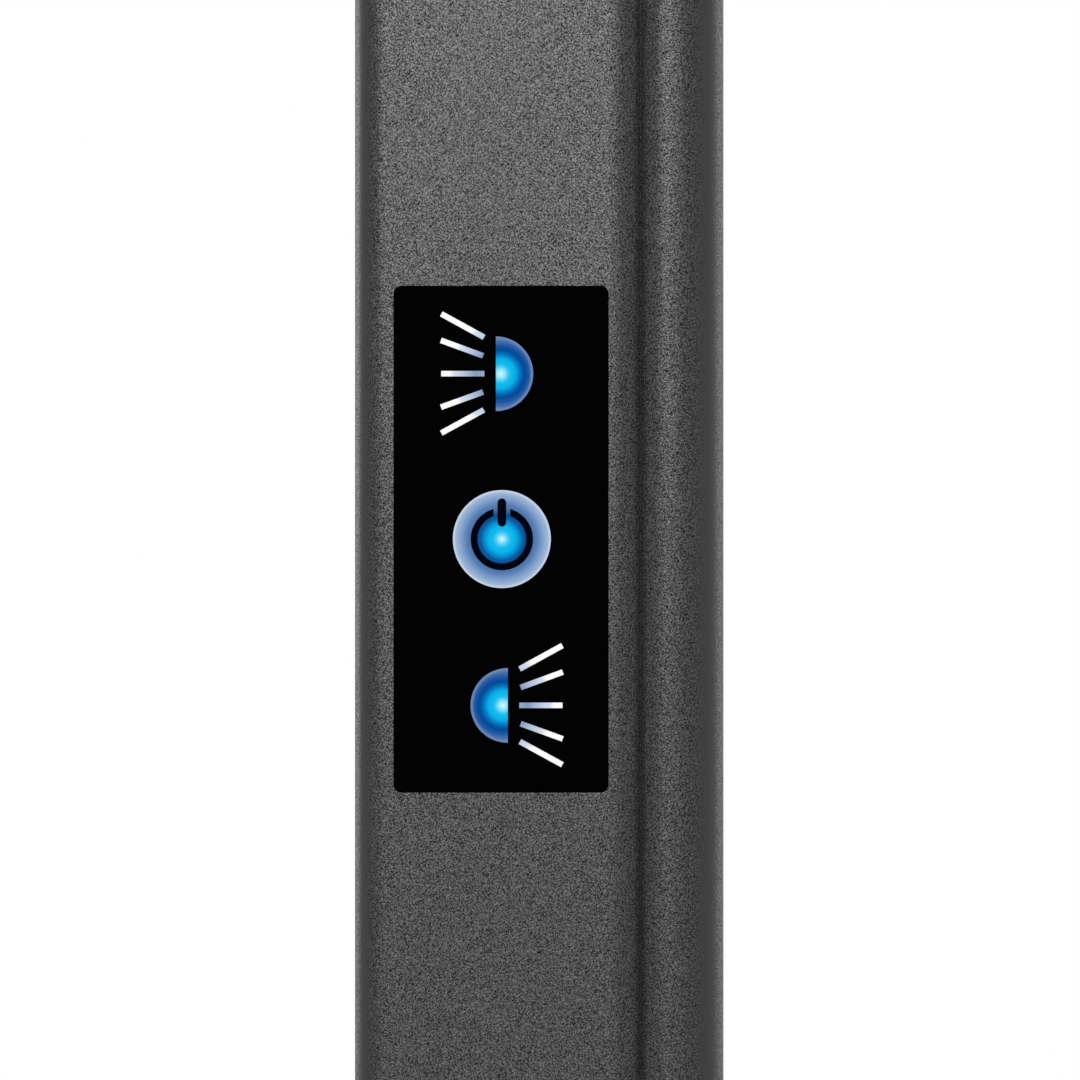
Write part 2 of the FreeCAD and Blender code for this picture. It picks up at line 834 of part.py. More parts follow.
def make_column():
    """The extrusion, with its chambers, screw ports, panel window and the holes in its back."""
    body = new_body("column")
    solid(body, "top", column_bottom, size.column_length, column_outline)
    cut(body, "top", column_bottom, size.column_length, chamber_outline)
    cut(body, "top", column_bottom, size.column_length, duct_outline)
    solid(body, "top", column_bottom, size.column_length, lambda s: circles(s, port_places, port_boss))
    cut(body, "top", column_bottom, size.column_length,
        lambda s: circles(s, port_places, size.port_radius))
    window_back = tray_back - size.seat_gap
    cut(
        body,
        "front",
        window_back,
        half_depth - window_back + 1,
        lambda s: rectangle(
            s,
            size.panel_x,
            size.panel_height,
            size.panel_width + 2 * size.panel_gap,
            size.panel_length + 2 * size.panel_gap,
            size.panel_corner + size.panel_gap,
        ),
    )
    cut(body, "front", -(half_depth + 1), size.column_wall + 2,
        lambda s: circle(s, size.panel_x, inlet_z, size.inlet_pin_spacing / 2))
    heights = bracket_screw_heights + inlet_screw_heights
    cut(body, "front", -(half_depth + 1), size.column_wall + 2,
        lambda s: circles(s,
            [(chamber_x, z) for z in heights], size.rear_screw_radius + size.running_gap))


# Inlet, driver and leads


def make_inlet_box():
    """The moulded mains inlet behind the foot of the column, with a two-pin recess open to the back."""
    body = new_body("inlet_box")
    left, right = chamber_x - size.inlet_width / 2, chamber_x + size.inlet_width / 2
    corner = size.inlet_depth / 4
    solid(
        body,
        "top",
        inlet_bottom,
        size.inlet_height,
        lambda s: loop(
            s,
            [
                (left, half_depth),
                (right, half_depth),
                (right, inlet_back - corner, corner),
                (right - corner, inlet_back),
                (left + corner, inlet_back, corner),
                (left, inlet_back - corner),
            ],
        ),
    )
    rims = [level_edge(inlet_bottom), level_edge(inlet_bottom + size.inlet_height)]
    seat = number(half_depth) + 1e-3
    dress(
        body,
        "Chamfer",
        size.inlet_web / 2,
        lambda edge: any(rim(edge) for rim in rims) and edge.BoundBox.YMax > seat,
    )
    cut(body, "front", -(inlet_back + 1), size.inlet_slot_depth + 1,
        lambda s: flat_slot(s, chamber_x, inlet_z, size.inlet_slot_width, size.inlet_slot_height))
    hollow = slot_floor - size.inlet_web
    hollow_height = size.inlet_screw_spacing - 2 * (size.rear_head_radius + size.inlet_web / 2)
    cut(body, "front", -hollow, hollow - half_depth + 1,
        lambda s: rectangle(s,
            chamber_x, inlet_z, size.inlet_width - 2 * size.inlet_web, hollow_height))
    pins = [(chamber_x + i * size.inlet_pin_spacing / 2, inlet_z) for i in (-1, 1)]
    cut(body, "front", -(slot_floor + 1), size.inlet_web + 2,
        lambda s: circles(s, pins, size.inlet_pin_radius + size.running_gap))
    screws = [(chamber_x, z) for z in inlet_screw_heights]
    cut(body, "front", -(inlet_back + 1), size.inlet_depth + 2,
        lambda s: circles(s, screws, size.rear_screw_radius + size.running_gap))
    cut(body, "front", -(inlet_back + 1), size.inlet_depth + 1 - size.inlet_web * 2,
        lambda s: circles(s, screws, size.rear_head_radius + size.seat_gap))


def make_inlet_pins():
    """The two contact pins, through the web of the inlet."""
    body = new_body("inlet_pins")
    pins = [(chamber_x + i * size.inlet_pin_spacing / 2, inlet_z) for i in (-1, 1)]
    tail = slot_floor - size.inlet_web * 2
    tip = inlet_back - size.inlet_web
    solid(body, "front", -tip, tip - tail, lambda s: circles(s, pins, size.inlet_pin_radius))
    tip_y = number(tip)
    dress(body, "Chamfer", size.inlet_pin_radius / 3, lambda edge: edge.BoundBox.YMin > tip_y - 1e-4)


def make_rear_screws():
    """Four pan-head screws in the column's back: two hold the driver bracket and two the inlet."""
    body = new_body("rear_screws")
    shank_end = bracket_front - size.bracket_sheet
    for heights, seat in (
        (bracket_screw_heights, half_depth),
        (inlet_screw_heights, half_depth + 2 * size.inlet_web),
    ):
        places = [(chamber_x, z) for z in heights]
        solid(body, "front", -(seat + size.rear_head_height), size.rear_head_height,
            lambda s: circles(s, places, size.rear_head_radius))
        solid(body, "front", -seat, seat - shank_end,
            lambda s: circles(s, places, size.rear_screw_radius))


def make_driver_bracket():
    """A folded strip on the inside of the column's back, with a lip above and below the driver."""
    body = new_body("driver_bracket")
    length = size.driver_length + 2 * (size.bracket_end + size.bracket_sheet)
    bottom = size.driver_height - size.bracket_end - size.bracket_sheet
    middle = bottom + length / 2
    solid(body, "front", -chamber_half, size.bracket_sheet,
        lambda s: rectangle(s, chamber_x, middle, size.driver_width, length, size.bracket_sheet))
    for edge_z in (size.driver_height - size.bracket_sheet / 2, driver_top + size.bracket_sheet / 2):
        solid(body, "front", -chamber_half, size.bracket_sheet + size.bracket_lip,
            lambda s: rectangle(s, chamber_x, edge_z, size.driver_width, size.bracket_sheet))
    cut(body, "front", -(chamber_half + 1), size.bracket_sheet + 2,
        lambda s: circles(s,
            [(chamber_x, z) for z in bracket_screw_heights], size.rear_screw_radius + size.running_gap))


def make_led_driver():
    """The driver's case, with a terminal block at each end."""
    body = new_body("led_driver")
    corner = size.driver_thickness / 10
    solid(body, "top", size.driver_height, size.driver_length,
        lambda s: rectangle(s, chamber_x, driver_y, size.driver_width, size.driver_thickness, corner))
    solid(
        body,
        "top",
        size.driver_height - size.terminal_length,
        size.driver_length + 2 * size.terminal_length,
        lambda s: rectangle(s, chamber_x, driver_y, size.driver_width / 2, size.terminal_depth),
    )


def lead(body, points):
    """A round lead in the panel's upright plane, through points joined by quarter-turn bends."""
    path = sketch_on(body, "side", size.panel_x)
    lead_path(path, points)
    start = points[0]
    following = points[1]
    upright = abs(number(start[0]) - number(following[0])) < 1e-6
    if upright:
        section = sketch_on(body, "top", start[1])
        circle(section, size.panel_x, start[0], size.lead_radius)
    else:
        section = sketch_on(body, "front", -start[0])
        circle(section, size.panel_x, start[1], size.lead_radius)
    pipe = body.newObject("PartDesign::AdditivePipe", f"{body.Label}_lead")
    pipe.Profile = section
    pipe.Spine = path
    pipe.Transition = "Right corner"
    path.Visibility = False
    section.Visibility = False


def lead_path(sketch, points):
    """Straight runs with one quarter bend at the middle point."""
    start, corner, end = points
    bend = size.lead_bend
    into = step_towards(corner, start, bend)
    out = step_towards(corner, end, bend)
    run_in = sketch.addGeometry(Part.LineSegment(flat(start), flat(into)), False)
    run_out = sketch.addGeometry(Part.LineSegment(flat(out), flat(end)), False)
    turn = (flat(corner) - flat(start)).cross(flat(end) - flat(corner)).z
    arc = arc_between(flat(into), flat(out), math.copysign(number(bend), turn))
    curve = sketch.addGeometry(arc, False)
    first, last = (1, 2) if turn > 0 else (2, 1)
    sketch.addConstraint(Sketcher.Constraint("Coincident", run_in, 2, curve, first))
    sketch.addConstraint(Sketcher.Constraint("Coincident", curve, last, run_out, 1))
    for geometry, point, spot in (
        (run_in, 1, start),
        (run_in, 2, into),
        (run_out, 1, out),
        (run_out, 2, end),
    ):
        fix_point(sketch, geometry, point, *spot)
    fix_radius(sketch, curve, bend)


def flat(spot):
    """A sketch place as a vector."""
    return Vector(number(spot[0]), number(spot[1]), 0)


def step_towards(corner, target, distance):
    """The place that lies distance from corner on the level or upright way to target."""
    if abs(number(corner[0]) - number(target[0])) < 1e-6:
        sign = 1 if number(target[1]) > number(corner[1]) else -1
        return (corner[0], corner[1] + sign * distance)
    sign = 1 if number(target[0]) > number(corner[0]) else -1
    return (corner[0] + sign * distance, corner[1])


def make_column_leads():
    """Three leads inside the column: inlet to driver, driver to board, and board to the top bracket."""
    body = new_body("column_leads")
    tail = slot_floor - size.inlet_web * 2 - size.side_gap
    terminal_bottom = size.driver_height - size.terminal_length
    terminal_top = driver_top + size.terminal_length
    plug_back = size.plug_depth - board_back
    lower_plug = size.panel_height - size.plug_offset
    upper_plug = size.panel_height + size.plug_offset
    lead(body, [(tail, inlet_z), (driver_y, inlet_z), (driver_y, terminal_bottom)])
    lead(body, [(driver_y, terminal_top), (driver_y, lower_plug), (plug_back, lower_plug)])
    lead(body, [(plug_back, upper_plug), (driver_y, upper_plug), (driver_y, column_top)])


# Touch panel


def make_touch_panel():
    """The flush front plate, with slightly rounded corners."""
    body = new_body("touch_panel")
    solid(body, "front", panel_back, size.panel_thickness,
        lambda s: rectangle(s,
            size.panel_x, size.panel_height, size.panel_width, size.panel_length, size.panel_corner))


def make_light_guide():
    """The moulded plate that spreads light behind the marks."""
    body = new_body("light_guide")
    solid(
        body,
        "front",
        guide_back,
        size.guide_thickness,
        lambda s: rectangle(
            s,
            size.panel_x,
            size.panel_height,
            tray_inner_width - 2 * size.panel_gap,
            tray_inner_length - 2 * size.panel_gap,
        ),
    )


def make_touch_board():
    """The sensor and control board, with two plugs on its back."""
    body = new_body("touch_board")
    solid(
        body,
        "front",
        board_back,
        size.board_thickness,
        lambda s: rectangle(
            s,
            size.panel_x,
            size.panel_height,
            tray_inner_width - 2 * size.panel_gap,
            tray_inner_length - 2 * size.panel_gap,
        ),
    )
    for offset in (-size.plug_offset, size.plug_offset):
        solid(body, "front", board_back - size.plug_depth, size.plug_depth,
            lambda s: rectangle(s,
                size.panel_x, size.panel_height + offset, size.hook_width, 4 * size.lead_radius))


def make_panel_tray():
    """The tray that holds the guide and the board, with a hook at each end behind the column's wall."""
    body = new_body("panel_tray")
    solid(body, "front", tray_back, panel_back - tray_back,
        lambda s: rectangle(s,
            size.panel_x, size.panel_height, tray_width, tray_length, size.panel_corner))
    cut(body, "front", board_back, panel_back - board_back,
        lambda s: rectangle(s, size.panel_x, size.panel_height, tray_inner_width, tray_inner_length))
    cut(
        body,
        "front",
        tray_back,
        size.tray_floor,
        lambda s: rectangle(
            s,
            size.panel_x,
            size.panel_height,
            tray_inner_width - 4 * size.tray_wall,
            tray_inner_length - 2 * size.tray_wall,
        ),
    )
    hook_back = chamber_half - size.tray_floor
    for end in (-1, 1):
        hook_z = size.panel_height + end * (tray_length / 2 + size.hook_reach / 2 - size.tray_wall / 2)
        solid(body, "front", hook_back, size.tray_floor,
            lambda s: rectangle(s,
                size.panel_x, hook_z, size.hook_width, size.hook_reach + size.tray_wall))


# Bracket on top of the column


def bracket_outline(sketch):
    """The outline that both bracket plates and the top cover share."""
    rectangle(
        sketch,
        0,
        0,
        size.column_width + 2 * size.bracket_overhang,
        size.column_depth + 2 * size.bracket_overhang,
        size.bracket_corner,
    )


pivots = [(-size.pivot_x, 0), (size.pivot_x, 0)]


def make_lower_bracket():
    """The plate on the column's top, with the pins' seats, a wire channel and countersunk screw holes."""
    body = new_body("lower_bracket")
    solid(body, "top", column_top, size.lower_plate, bracket_outline)
    dress(body, "Chamfer", size.bracket_overhang / 2, level_edge(column_top))
    dress(body, "Fillet", size.edge_break, level_edge(plate_top))
    cut(body, "top", column_top, size.wire_channel,
        lambda s: rectangle(s, 0, 0, 2 * size.pivot_x, 2 * size.pin_bore))
    cut(body, "top", column_top, size.wire_channel + size.pin_flange_height,
        lambda s: circles(s, pivots, size.pin_flange_radius + size.running_gap))
    cut(body, "top", column_top, size.lower_plate,
        lambda s: circles(s, pivots, size.pin_radius + size.running_gap))
    cut(body, "top", column_top, size.lower_plate,
        lambda s: circles(s, port_places, size.screw_radius + size.running_gap))
    cone = size.screw_head_radius - size.screw_radius
    cut(body, "top", plate_top - cone, cone,
        lambda s: circles(s, port_places, size.screw_radius + size.running_gap), taper=45.0)


def make_bracket_screws():
    """Four countersunk screws down into the column's screw ports."""
    body = new_body("bracket_screws")
    cone = size.screw_head_radius - size.screw_radius
    bottom = column_top - size.screw_length
    solid(body, "top", bottom, plate_top - cone - bottom,
        lambda s: circles(s, port_places, size.screw_radius))
    solid(body, "top", plate_top - cone, cone,
        lambda s: circles(s, port_places, size.screw_radius), taper=45.0)


def make_pivot_pins():
    """Two hollow shouldered pins, each with a window towards its arm for the wires."""
    body = new_body("pivot_pins")
    bottom = column_top + size.wire_channel
    thread_top = upper_top + size.nut_height + 1
    solid(body, "top", bottom, size.pin_flange_height,
        lambda s: circles(s, pivots, size.pin_flange_radius))
    solid(body, "top", bottom, upper_bottom - bottom, lambda s: circles(s, pivots, size.pin_radius))
    solid(body, "top", upper_bottom, thread_top - upper_bottom,
        lambda s: circles(s, pivots, size.pin_thread_radius))
    window = size.bush_length
    cut(body, "top", bottom, arm_axis + window - bottom, lambda s: circles(s, pivots, size.pin_bore))
    for start in (size.pivot_x, -(size.pivot_x + size.pin_radius + 1)):
        cut(body, "side", start, size.pin_radius + 1,
            lambda s: rectangle(s, 0, arm_axis, size.pin_radius, 2 * window))


def make_upper_bracket():
    """The plate above the arms, on the pins' shoulders."""
    body = new_body("upper_bracket")
    solid(body, "top", upper_bottom, size.upper_plate, bracket_outline)
    dress(body, "Fillet", size.edge_break, level_edge(upper_bottom))
    cut(body, "top", upper_bottom, size.upper_plate,
        lambda s: circles(s, pivots, size.pin_thread_radius + size.running_gap))


def make_pivot_nuts():
    """Two hexagon nuts that clamp the bracket plates to the pins."""
    body = new_body("pivot_nuts")
    solid(body, "top", upper_top, size.nut_height,
        lambda s: [hexagon(s, x, y, size.nut_width) for x, y in pivots])
    cut(body, "top", upper_top, size.nut_height,
        lambda s: circles(s, pivots, size.pin_thread_radius + size.running_gap))


def make_top_cover():
    """The moulded cap over the nuts."""
    body = new_body("top_cover")
    solid(body, "top", upper_top, size.cover_height, bracket_outline)
    dress(body, "Fillet", size.cover_edge, level_edge(upper_top + size.cover_height))
    width = size.column_width + 2 * (size.bracket_overhang - size.top_wall)
    depth = size.column_depth + 2 * (size.bracket_overhang - size.top_wall)
    cut(body, "top", upper_top, size.cover_height - size.cover_edge,
        lambda s: rectangle(s, 0, 0, width, depth, size.bracket_corner - size.top_wall))


# Arms


def tube_section(sketch, inset):
    """The arm tube's outline, or the same drawn in by inset."""
    rectangle(
        sketch,
        0,
        0,
        size.arm_width - 2 * inset,
        size.arm_height - 2 * inset,
        size.arm_corner - inset,
    )


def make_arm_eye(side):
    """The cast eye that turns on the pivot pin, with a plug that fits inside the arm tube."""
    body = new_body(f"arm_eye_{side}")
    neck_start = size.pivot_x + size.pin_radius + size.running_gap + size.bush_wall
    collar_start = size.arm_start - size.collar_length
    plug_inset = size.arm_wall + size.running_gap
    solid(body, "top", -size.eye_height / 2, size.eye_height,
        lambda s: circle(s, size.pivot_x, 0, size.eye_radius))
    for end in (-size.eye_height / 2, size.eye_height / 2):
        dress(body, "Fillet", size.edge_break, level_edge(end))
    solid(body, "side", neck_start, collar_start - neck_start,
        lambda s: tube_section(s, size.neck_inset))
    solid(body, "side", collar_start, size.collar_length, lambda s: tube_section(s, 0))
    solid(body, "side", size.arm_start, size.plug_length, lambda s: tube_section(s, plug_inset))
    cut(body, "side", size.pivot_x, size.arm_start + size.plug_length - size.pivot_x,
        lambda s: circle(s, 0, 0, size.wire_bore))
    cut(body, "top", -size.eye_height / 2, size.eye_height,
        lambda s: circle(s, size.pivot_x, 0, size.pin_radius + size.running_gap + size.bush_wall))
    place(body, side, 0, arm_axis)


def make_eye_bushes(side):
    """Two flanged bushes in the eye, one from below and one from above."""
    body = new_body(f"eye_bushes_{side}")
    half = size.eye_height / 2
    outer = size.pin_radius + size.bush_wall
    for start, flange in ((-half, -(half + size.bush_flange)), (half - size.bush_length, half)):
        solid(body, "top", start, size.bush_length, lambda s: circle(s, size.pivot_x, 0, outer))
        solid(body, "top", flange, size.bush_flange,
            lambda s: circle(s, size.pivot_x, 0, size.bush_flange_radius))
    cut(body, "top", -(half + size.bush_flange), size.eye_height + 2 * size.bush_flange,
        lambda s: circle(s, size.pivot_x, 0, size.pin_radius + size.running_gap))
    place(body, side, 0, arm_axis)


def make_arm_tube(side):
    """The flat-oval arm tube."""
    body = new_body(f"arm_tube_{side}")
    solid(body, "side", size.arm_start, size.arm_length, lambda s: tube_section(s, 0))
    cut(body, "side", size.arm_start, size.arm_length, lambda s: tube_section(s, size.arm_wall))
    place(body, side, 0, arm_axis)


def make_arm_tip(side):
    """The turned end of the arm: a plug in the tube, a collar, and a grooved journal for the swivel."""
    body = new_body(f"arm_tip_{side}")
    plug_inset = size.arm_wall + size.running_gap
    collar_end = arm_end + size.collar_length
    solid(body, "side", arm_end - size.plug_length, size.plug_length,
        lambda s: tube_section(s, plug_inset))
    solid(body, "side", arm_end, size.collar_length, lambda s: tube_section(s, 0))
    solid(body, "side", collar_end, size.collar_length,
        lambda s: circle(s, 0, 0, size.swivel_radius - size.collar_length / 3))
    solid(body, "side", tip_face, size.journal_length, lambda s: circle(s, 0, 0, size.journal_radius))
    cut(body, "side", groove_x - size.journal_groove / 2, size.journal_groove,
        lambda s: circles_ring(s,
            size.journal_radius + 1, size.journal_radius - size.journal_groove_depth))
    cut(
        body,
        "side",
        arm_end - size.plug_length,
        size.plug_length + 2 * size.collar_length + size.journal_length,
        lambda s: circle(s, 0, 0, size.wire_bore),
    )
    place(body, side, 0, arm_axis)


def circles_ring(sketch, outer, inner):
    """Two circles about the origin that bound a ring."""
    circle(sketch, 0, 0, outer)
    circle(sketch, 0, 0, inner)


def make_arm_lead(side):
    """The supply lead along the inside of the arm."""
    body = new_body(f"arm_lead_{side}")
    start = size.pivot_x + size.eye_radius - size.pin_bore
    solid(body, "side", start, tip_face + size.journal_length - start,
        lambda s: circle(s, 0, 0, size.wire_bore - 4 * size.side_gap))
    place(body, side, 0, arm_axis)


# Swivel and tilt joint


def make_swivel(side):
    """The sleeve that turns about the arm, with the tongue of the tilt joint."""
    body = new_body(f"swivel_{side}")
    solid(body, "side", swivel_start, size.swivel_length, lambda s: circle(s, 0, 0, size.swivel_radius))
    rims = (number(swivel_start), number(swivel_end))
    dress(
        body,
        "Fillet",
        size.swivel_floor / 2,
        lambda edge: edge.BoundBox.XLength < 1e-4
        and any(abs(edge.BoundBox.XMin - rim) < 1e-4 for rim in rims),
    )
    tongue_start = swivel_end - size.swivel_floor
    solid(
        body,
        "front",
        -size.tongue_thickness / 2,
        size.tongue_thickness,
        lambda s: loop(
            s,
            [
                (tongue_start, -size.tongue_radius),
                (tilt_x, -size.tongue_radius, size.tongue_radius),
                (tilt_x, size.tongue_radius),
                (tongue_start, size.tongue_radius),
            ],
        ),
    )
    cut(body, "side", swivel_start, size.swivel_length - size.swivel_floor,
        lambda s: circle(s, 0, 0, size.journal_radius + size.running_gap))
    cut(body, "front", -size.tongue_thickness, 2 * size.tongue_thickness,
        lambda s: circle(s, tilt_x, 0, size.tilt_radius + size.running_gap))
    cut(body, "top", -size.swivel_radius - 1, size.swivel_radius + 1,
        lambda s: circle(s, groove_x, 0, size.grub_radius + size.running_gap))
    wire_x = swivel_end - size.swivel_floor - size.wire_bore + size.side_gap * 2
    cut(body, "top", -size.swivel_radius - 1, size.swivel_radius + 1,
        lambda s: circle(s, wire_x, 0, size.wire_bore * 3 / 4))
    place(body, side, 0, arm_axis)


def make_swivel_grub(side):
    """The set screw whose end runs in the journal's groove and keeps the swivel on."""
    body = new_body(f"swivel_grub_{side}")
    groove_floor = size.journal_radius - size.journal_groove_depth
    bottom = size.swivel_floor / 4 - size.swivel_radius
    solid(body, "top", bottom, -bottom - groove_floor - 2 * size.side_gap,
        lambda s: circle(s, groove_x, 0, size.grub_radius))
    cut(body, "top", bottom, size.grub_radius, lambda s: hexagon(s, groove_x, 0, size.grub_radius))
    place(body, side, 0, arm_axis)


def make_head_fork(side):
    """The two ears of the tilt joint on a round flange."""
    body = new_body(f"head_fork_{side}")
    solid(body, "top", dome_top, size.fork_flange, lambda s: circle(s, 0, 0, size.fork_radius))
    dress(body, "Fillet", size.edge_break, level_edge(dome_top + size.fork_flange))
    for start in (ear_inner, -ear_outer):
        solid(
            body,
            "front",
            start,
            size.ear_thickness,
            lambda s: loop(
                s,
                [
                    (-size.tongue_radius, -size.fork_neck - size.fork_flange / 2),
                    (size.tongue_radius, -size.fork_neck - size.fork_flange / 2),
                    (size.tongue_radius, 0, size.tongue_radius),
                    (-size.tongue_radius, 0),
                ],
            ),
        )
    dress(body, "Fillet", size.edge_break, outer_ear_edge)
    cut(body, "front", -ear_outer - 1, 2 * ear_outer + 2,
        lambda s: circle(s, 0, 0, size.tilt_radius + size.running_gap))
    cut(body, "top", dome_top, size.fork_flange, lambda s: circle(s, 0, 0, ear_inner - size.side_gap))
    cut(body, "top", dome_top, size.fork_flange, lambda s: fork_screw_circles(s, size.running_gap))
    place(body, side, tilt_x, arm_axis)


def outer_ear_edge(edge):
    """Tells whether an edge of the fork goes up and round the outer face of an ear."""
    box = edge.BoundBox
    face = number(ear_outer)
    upright = box.ZLength > number(size.tongue_radius) / 2
    return upright and box.YLength < 1e-4 and abs(abs(box.YMin) - face) < 1e-4


def fork_screw_circles(sketch, gap):
    """The two screw places in the fork's flange, in front of and behind the ears' line."""
    for direction in (-1, 1):
        circle(sketch, direction * size.fork_screw_circle, 0, size.screw_radius + gap)


def make_tilt_washers(side):
    """A friction washer on each side of the tongue."""
    body = new_body(f"tilt_washers_{side}")
    for start in (washer_face, -ear_inner):
        solid(body, "front", start, size.washer_thickness,
            lambda s: circles_ring(s, size.tongue_radius, size.tilt_radius + size.running_gap))
    place(body, side, tilt_x, arm_axis)


def make_tilt_bolt(side):
    """The bolt across the fork, with its low round head in front."""
    body = new_body(f"tilt_bolt_{side}")
    nut_end = ear_outer + size.tilt_nut_height - size.washer_thickness
    solid(body, "front", -nut_end, nut_end + ear_outer, lambda s: circle(s, 0, 0, size.tilt_radius))
    solid(body, "front", ear_outer, size.tilt_head_height,
        lambda s: circle(s, 0, 0, size.tilt_head_radius))
    face = -number(ear_outer + size.tilt_head_height)
    dress(body, "Fillet", size.tilt_head_height / 3, lambda edge: edge.BoundBox.YMax < face + 1e-4)
    cut(body, "front", ear_outer + size.tilt_head_height / 2, size.tilt_head_height / 2,
        lambda s: hexagon(s, 0, 0, size.tilt_radius))
    place(body, side, tilt_x, arm_axis)


def make_tilt_nut(side):
    """The cap nut behind the fork."""
    body = new_body(f"tilt_nut_{side}")
    solid(body, "front", -(ear_outer + size.tilt_nut_height), size.tilt_nut_height,
        lambda s: hexagon(s, 0, 0, 2 * size.tilt_head_radius - size.washer_thickness))
    cut(
        body,
        "front",
        -(ear_outer + size.tilt_nut_height - size.washer_thickness),
        size.tilt_nut_height,
        lambda s: circle(s, 0, 0, size.tilt_radius + size.running_gap),
    )
    place(body, side, tilt_x, arm_axis)


# Heads


def dome_outline(sketch):
    """Half the dome's section: a flat top, the round wall and a short upright skirt."""
    inner_top = dome_top - size.dome_wall
    drop = inner_top - dome_centre
    inner_flat = root(dome_inner * dome_inner - drop * drop)
    loop(
        sketch,
        [
            (size.dome_wire_hole, dome_top),
            (size.dome_wire_hole, inner_top),
            (inner_flat, inner_top, -dome_inner),
            (dome_inner, dome_centre),
            (dome_inner, dome_rim),
            (size.dome_radius, dome_rim),
            (size.dome_radius, dome_centre, size.dome_radius),
            (size.dome_flat, dome_top),
        ],
    )


def above_posts(sketch):
    """What lies outside the middle of the dome's wall, over the heat sink's posts."""
    middle = size.dome_radius - size.dome_wall / 2
    drop = sink_top - dome_centre
    reach = root(middle * middle - drop * drop)
    loop(
        sketch,
        [
            (0, dome_centre + middle + 1),
            (0, dome_centre + middle, -middle),
            (reach, sink_top),
            (middle, sink_top),
            (middle, dome_centre + middle + 1),
        ],
    )


def make_head_dome(side):
    """The spun housing, with a ring of vents round its top and four posts inside for the heat sink."""
    body = new_body(f"head_dome_{side}")
    solid(body, "top", sink_top, dome_top - sink_top,
        lambda s: circles(s, post_places(), size.post_radius))
    turned(body, above_posts, "Groove")
    turned(body, dome_outline)
    cut(body, "top", sink_top, size.screw_length / 2,
        lambda s: circles(s, post_places(), size.screw_radius + size.running_gap))
    vent_bottom = dome_centre + root(dome_inner * dome_inner - size.vent_outer * size.vent_outer)
    vent = cut(
        body,
        "top",
        vent_bottom - size.dome_wall * 2,
        dome_top - vent_bottom + size.dome_wall * 2,
        lambda s: flat_slot(
            s,
            (size.vent_inner + size.vent_outer) / 2,
            0,
            size.vent_outer - size.vent_inner,
            size.vent_width,
        ),
    )
    around(body, vent, size.vent_count)
    cut(body, "top", dome_top - size.dome_wall, size.dome_wall,
        lambda s: fork_screw_circles(s, size.running_gap))
    place(body, side, tilt_x, arm_axis)


def post_places():
    """The heat sink's four screw places, midway between two vents each."""
    turn = math.radians(90 - 180 / number(size.vent_count))
    across, along = size.post_circle * math.cos(turn), size.post_circle * math.sin(turn)
    return [(along, -across), (across, along), (-along, across), (-across, -along)]


def make_head_screws(side):
    """Two screws from inside the dome up into the fork, and four from below into the dome's posts."""
    body = new_body(f"head_screws_{side}")
    under_dome = dome_top - size.dome_wall
    solid(body, "top", under_dome, size.dome_wall + size.fork_flange - size.washer_thickness / 2,
        lambda s: fork_screw_circles(s, 0))
    head_places = [(i * size.fork_screw_circle, 0) for i in (-1, 1)]
    solid(body, "top", under_dome - size.rear_head_height, size.rear_head_height,
        lambda s: circles(s, head_places, size.screw_head_radius - size.side_gap))
    solid(body, "top", sink_bottom, size.sink_plate + size.screw_length / 2 - size.side_gap,
        lambda s: circles(s, post_places(), size.screw_radius))
    solid(body, "top", sink_bottom - size.rear_head_height, size.rear_head_height,
        lambda s: circles(s, post_places(), size.screw_head_radius - size.side_gap))
    place(body, side, tilt_x, arm_axis)


def make_heat_sink(side):
    """A round plate with a ring of upright fins."""
    body = new_body(f"heat_sink_{side}")
    solid(body, "top", sink_bottom, size.sink_plate, lambda s: circle(s, 0, 0, size.sink_radius))
    cut(body, "top", sink_bottom, size.sink_plate,
        lambda s: circles(s, post_places(), size.screw_radius + size.running_gap))
    fin = solid(
        body,
        "top",
        sink_top - size.sink_plate / 2,
        size.fin_height + size.sink_plate / 2,
        lambda s: rectangle(
            s,
            (size.fin_inner + size.fin_outer) / 2,
            0,
            size.fin_outer - size.fin_inner,
            size.fin_thickness,
        ),
    )
    around(body, fin, size.fin_count)
    place(body, side, tilt_x, arm_axis)


def make_led_board(side):
    """The round board under the heat sink, with a ring of emitters and one in the middle."""
    body = new_body(f"led_board_{side}")
    board_bottom = sink_bottom - size.board_thickness
    solid(body, "top", board_bottom, size.board_thickness, lambda s: circle(s, 0, 0, size.led_radius))
    emitter_bottom = board_bottom - size.led_rise
    solid(body, "top", emitter_bottom, size.led_rise,
        lambda s: rectangle(s, 0, 0, size.led_side, size.led_side))
    emitter = solid(body, "top", emitter_bottom, size.led_rise + size.board_thickness / 2,
        lambda s: rectangle(s, size.led_circle, 0, size.led_side, size.led_side))
    around(body, emitter, size.led_count)
    place(body, side, tilt_x, arm_axis)


def make_reflector(side):
    """The flared reflector between the heat sink and the diffuser, with a flat rim."""
    body = new_body(f"reflector_{side}")
    wall = size.reflector_wall
    rim_top = diffuser_top + wall
    turned(
        body,
        lambda s: loop(
            s,
            [
                (size.reflector_radius, sink_bottom),
                (size.reflector_mouth, rim_top),
                (size.reflector_mouth, diffuser_top),
                (size.diffuser_radius, diffuser_top),
                (size.diffuser_radius, rim_top),
                (size.reflector_mouth + wall, rim_top),
                (size.reflector_radius + wall, sink_bottom),
            ],
        ),
    )
    place(body, side, tilt_x, arm_axis)


def make_diffuser(side):
    """The opal disc that closes the head."""
    body = new_body(f"diffuser_{side}")
    solid(body, "top", trim_top, size.diffuser_thickness,
        lambda s: circle(s, 0, 0, size.diffuser_radius))
    place(body, side, tilt_x, arm_axis)


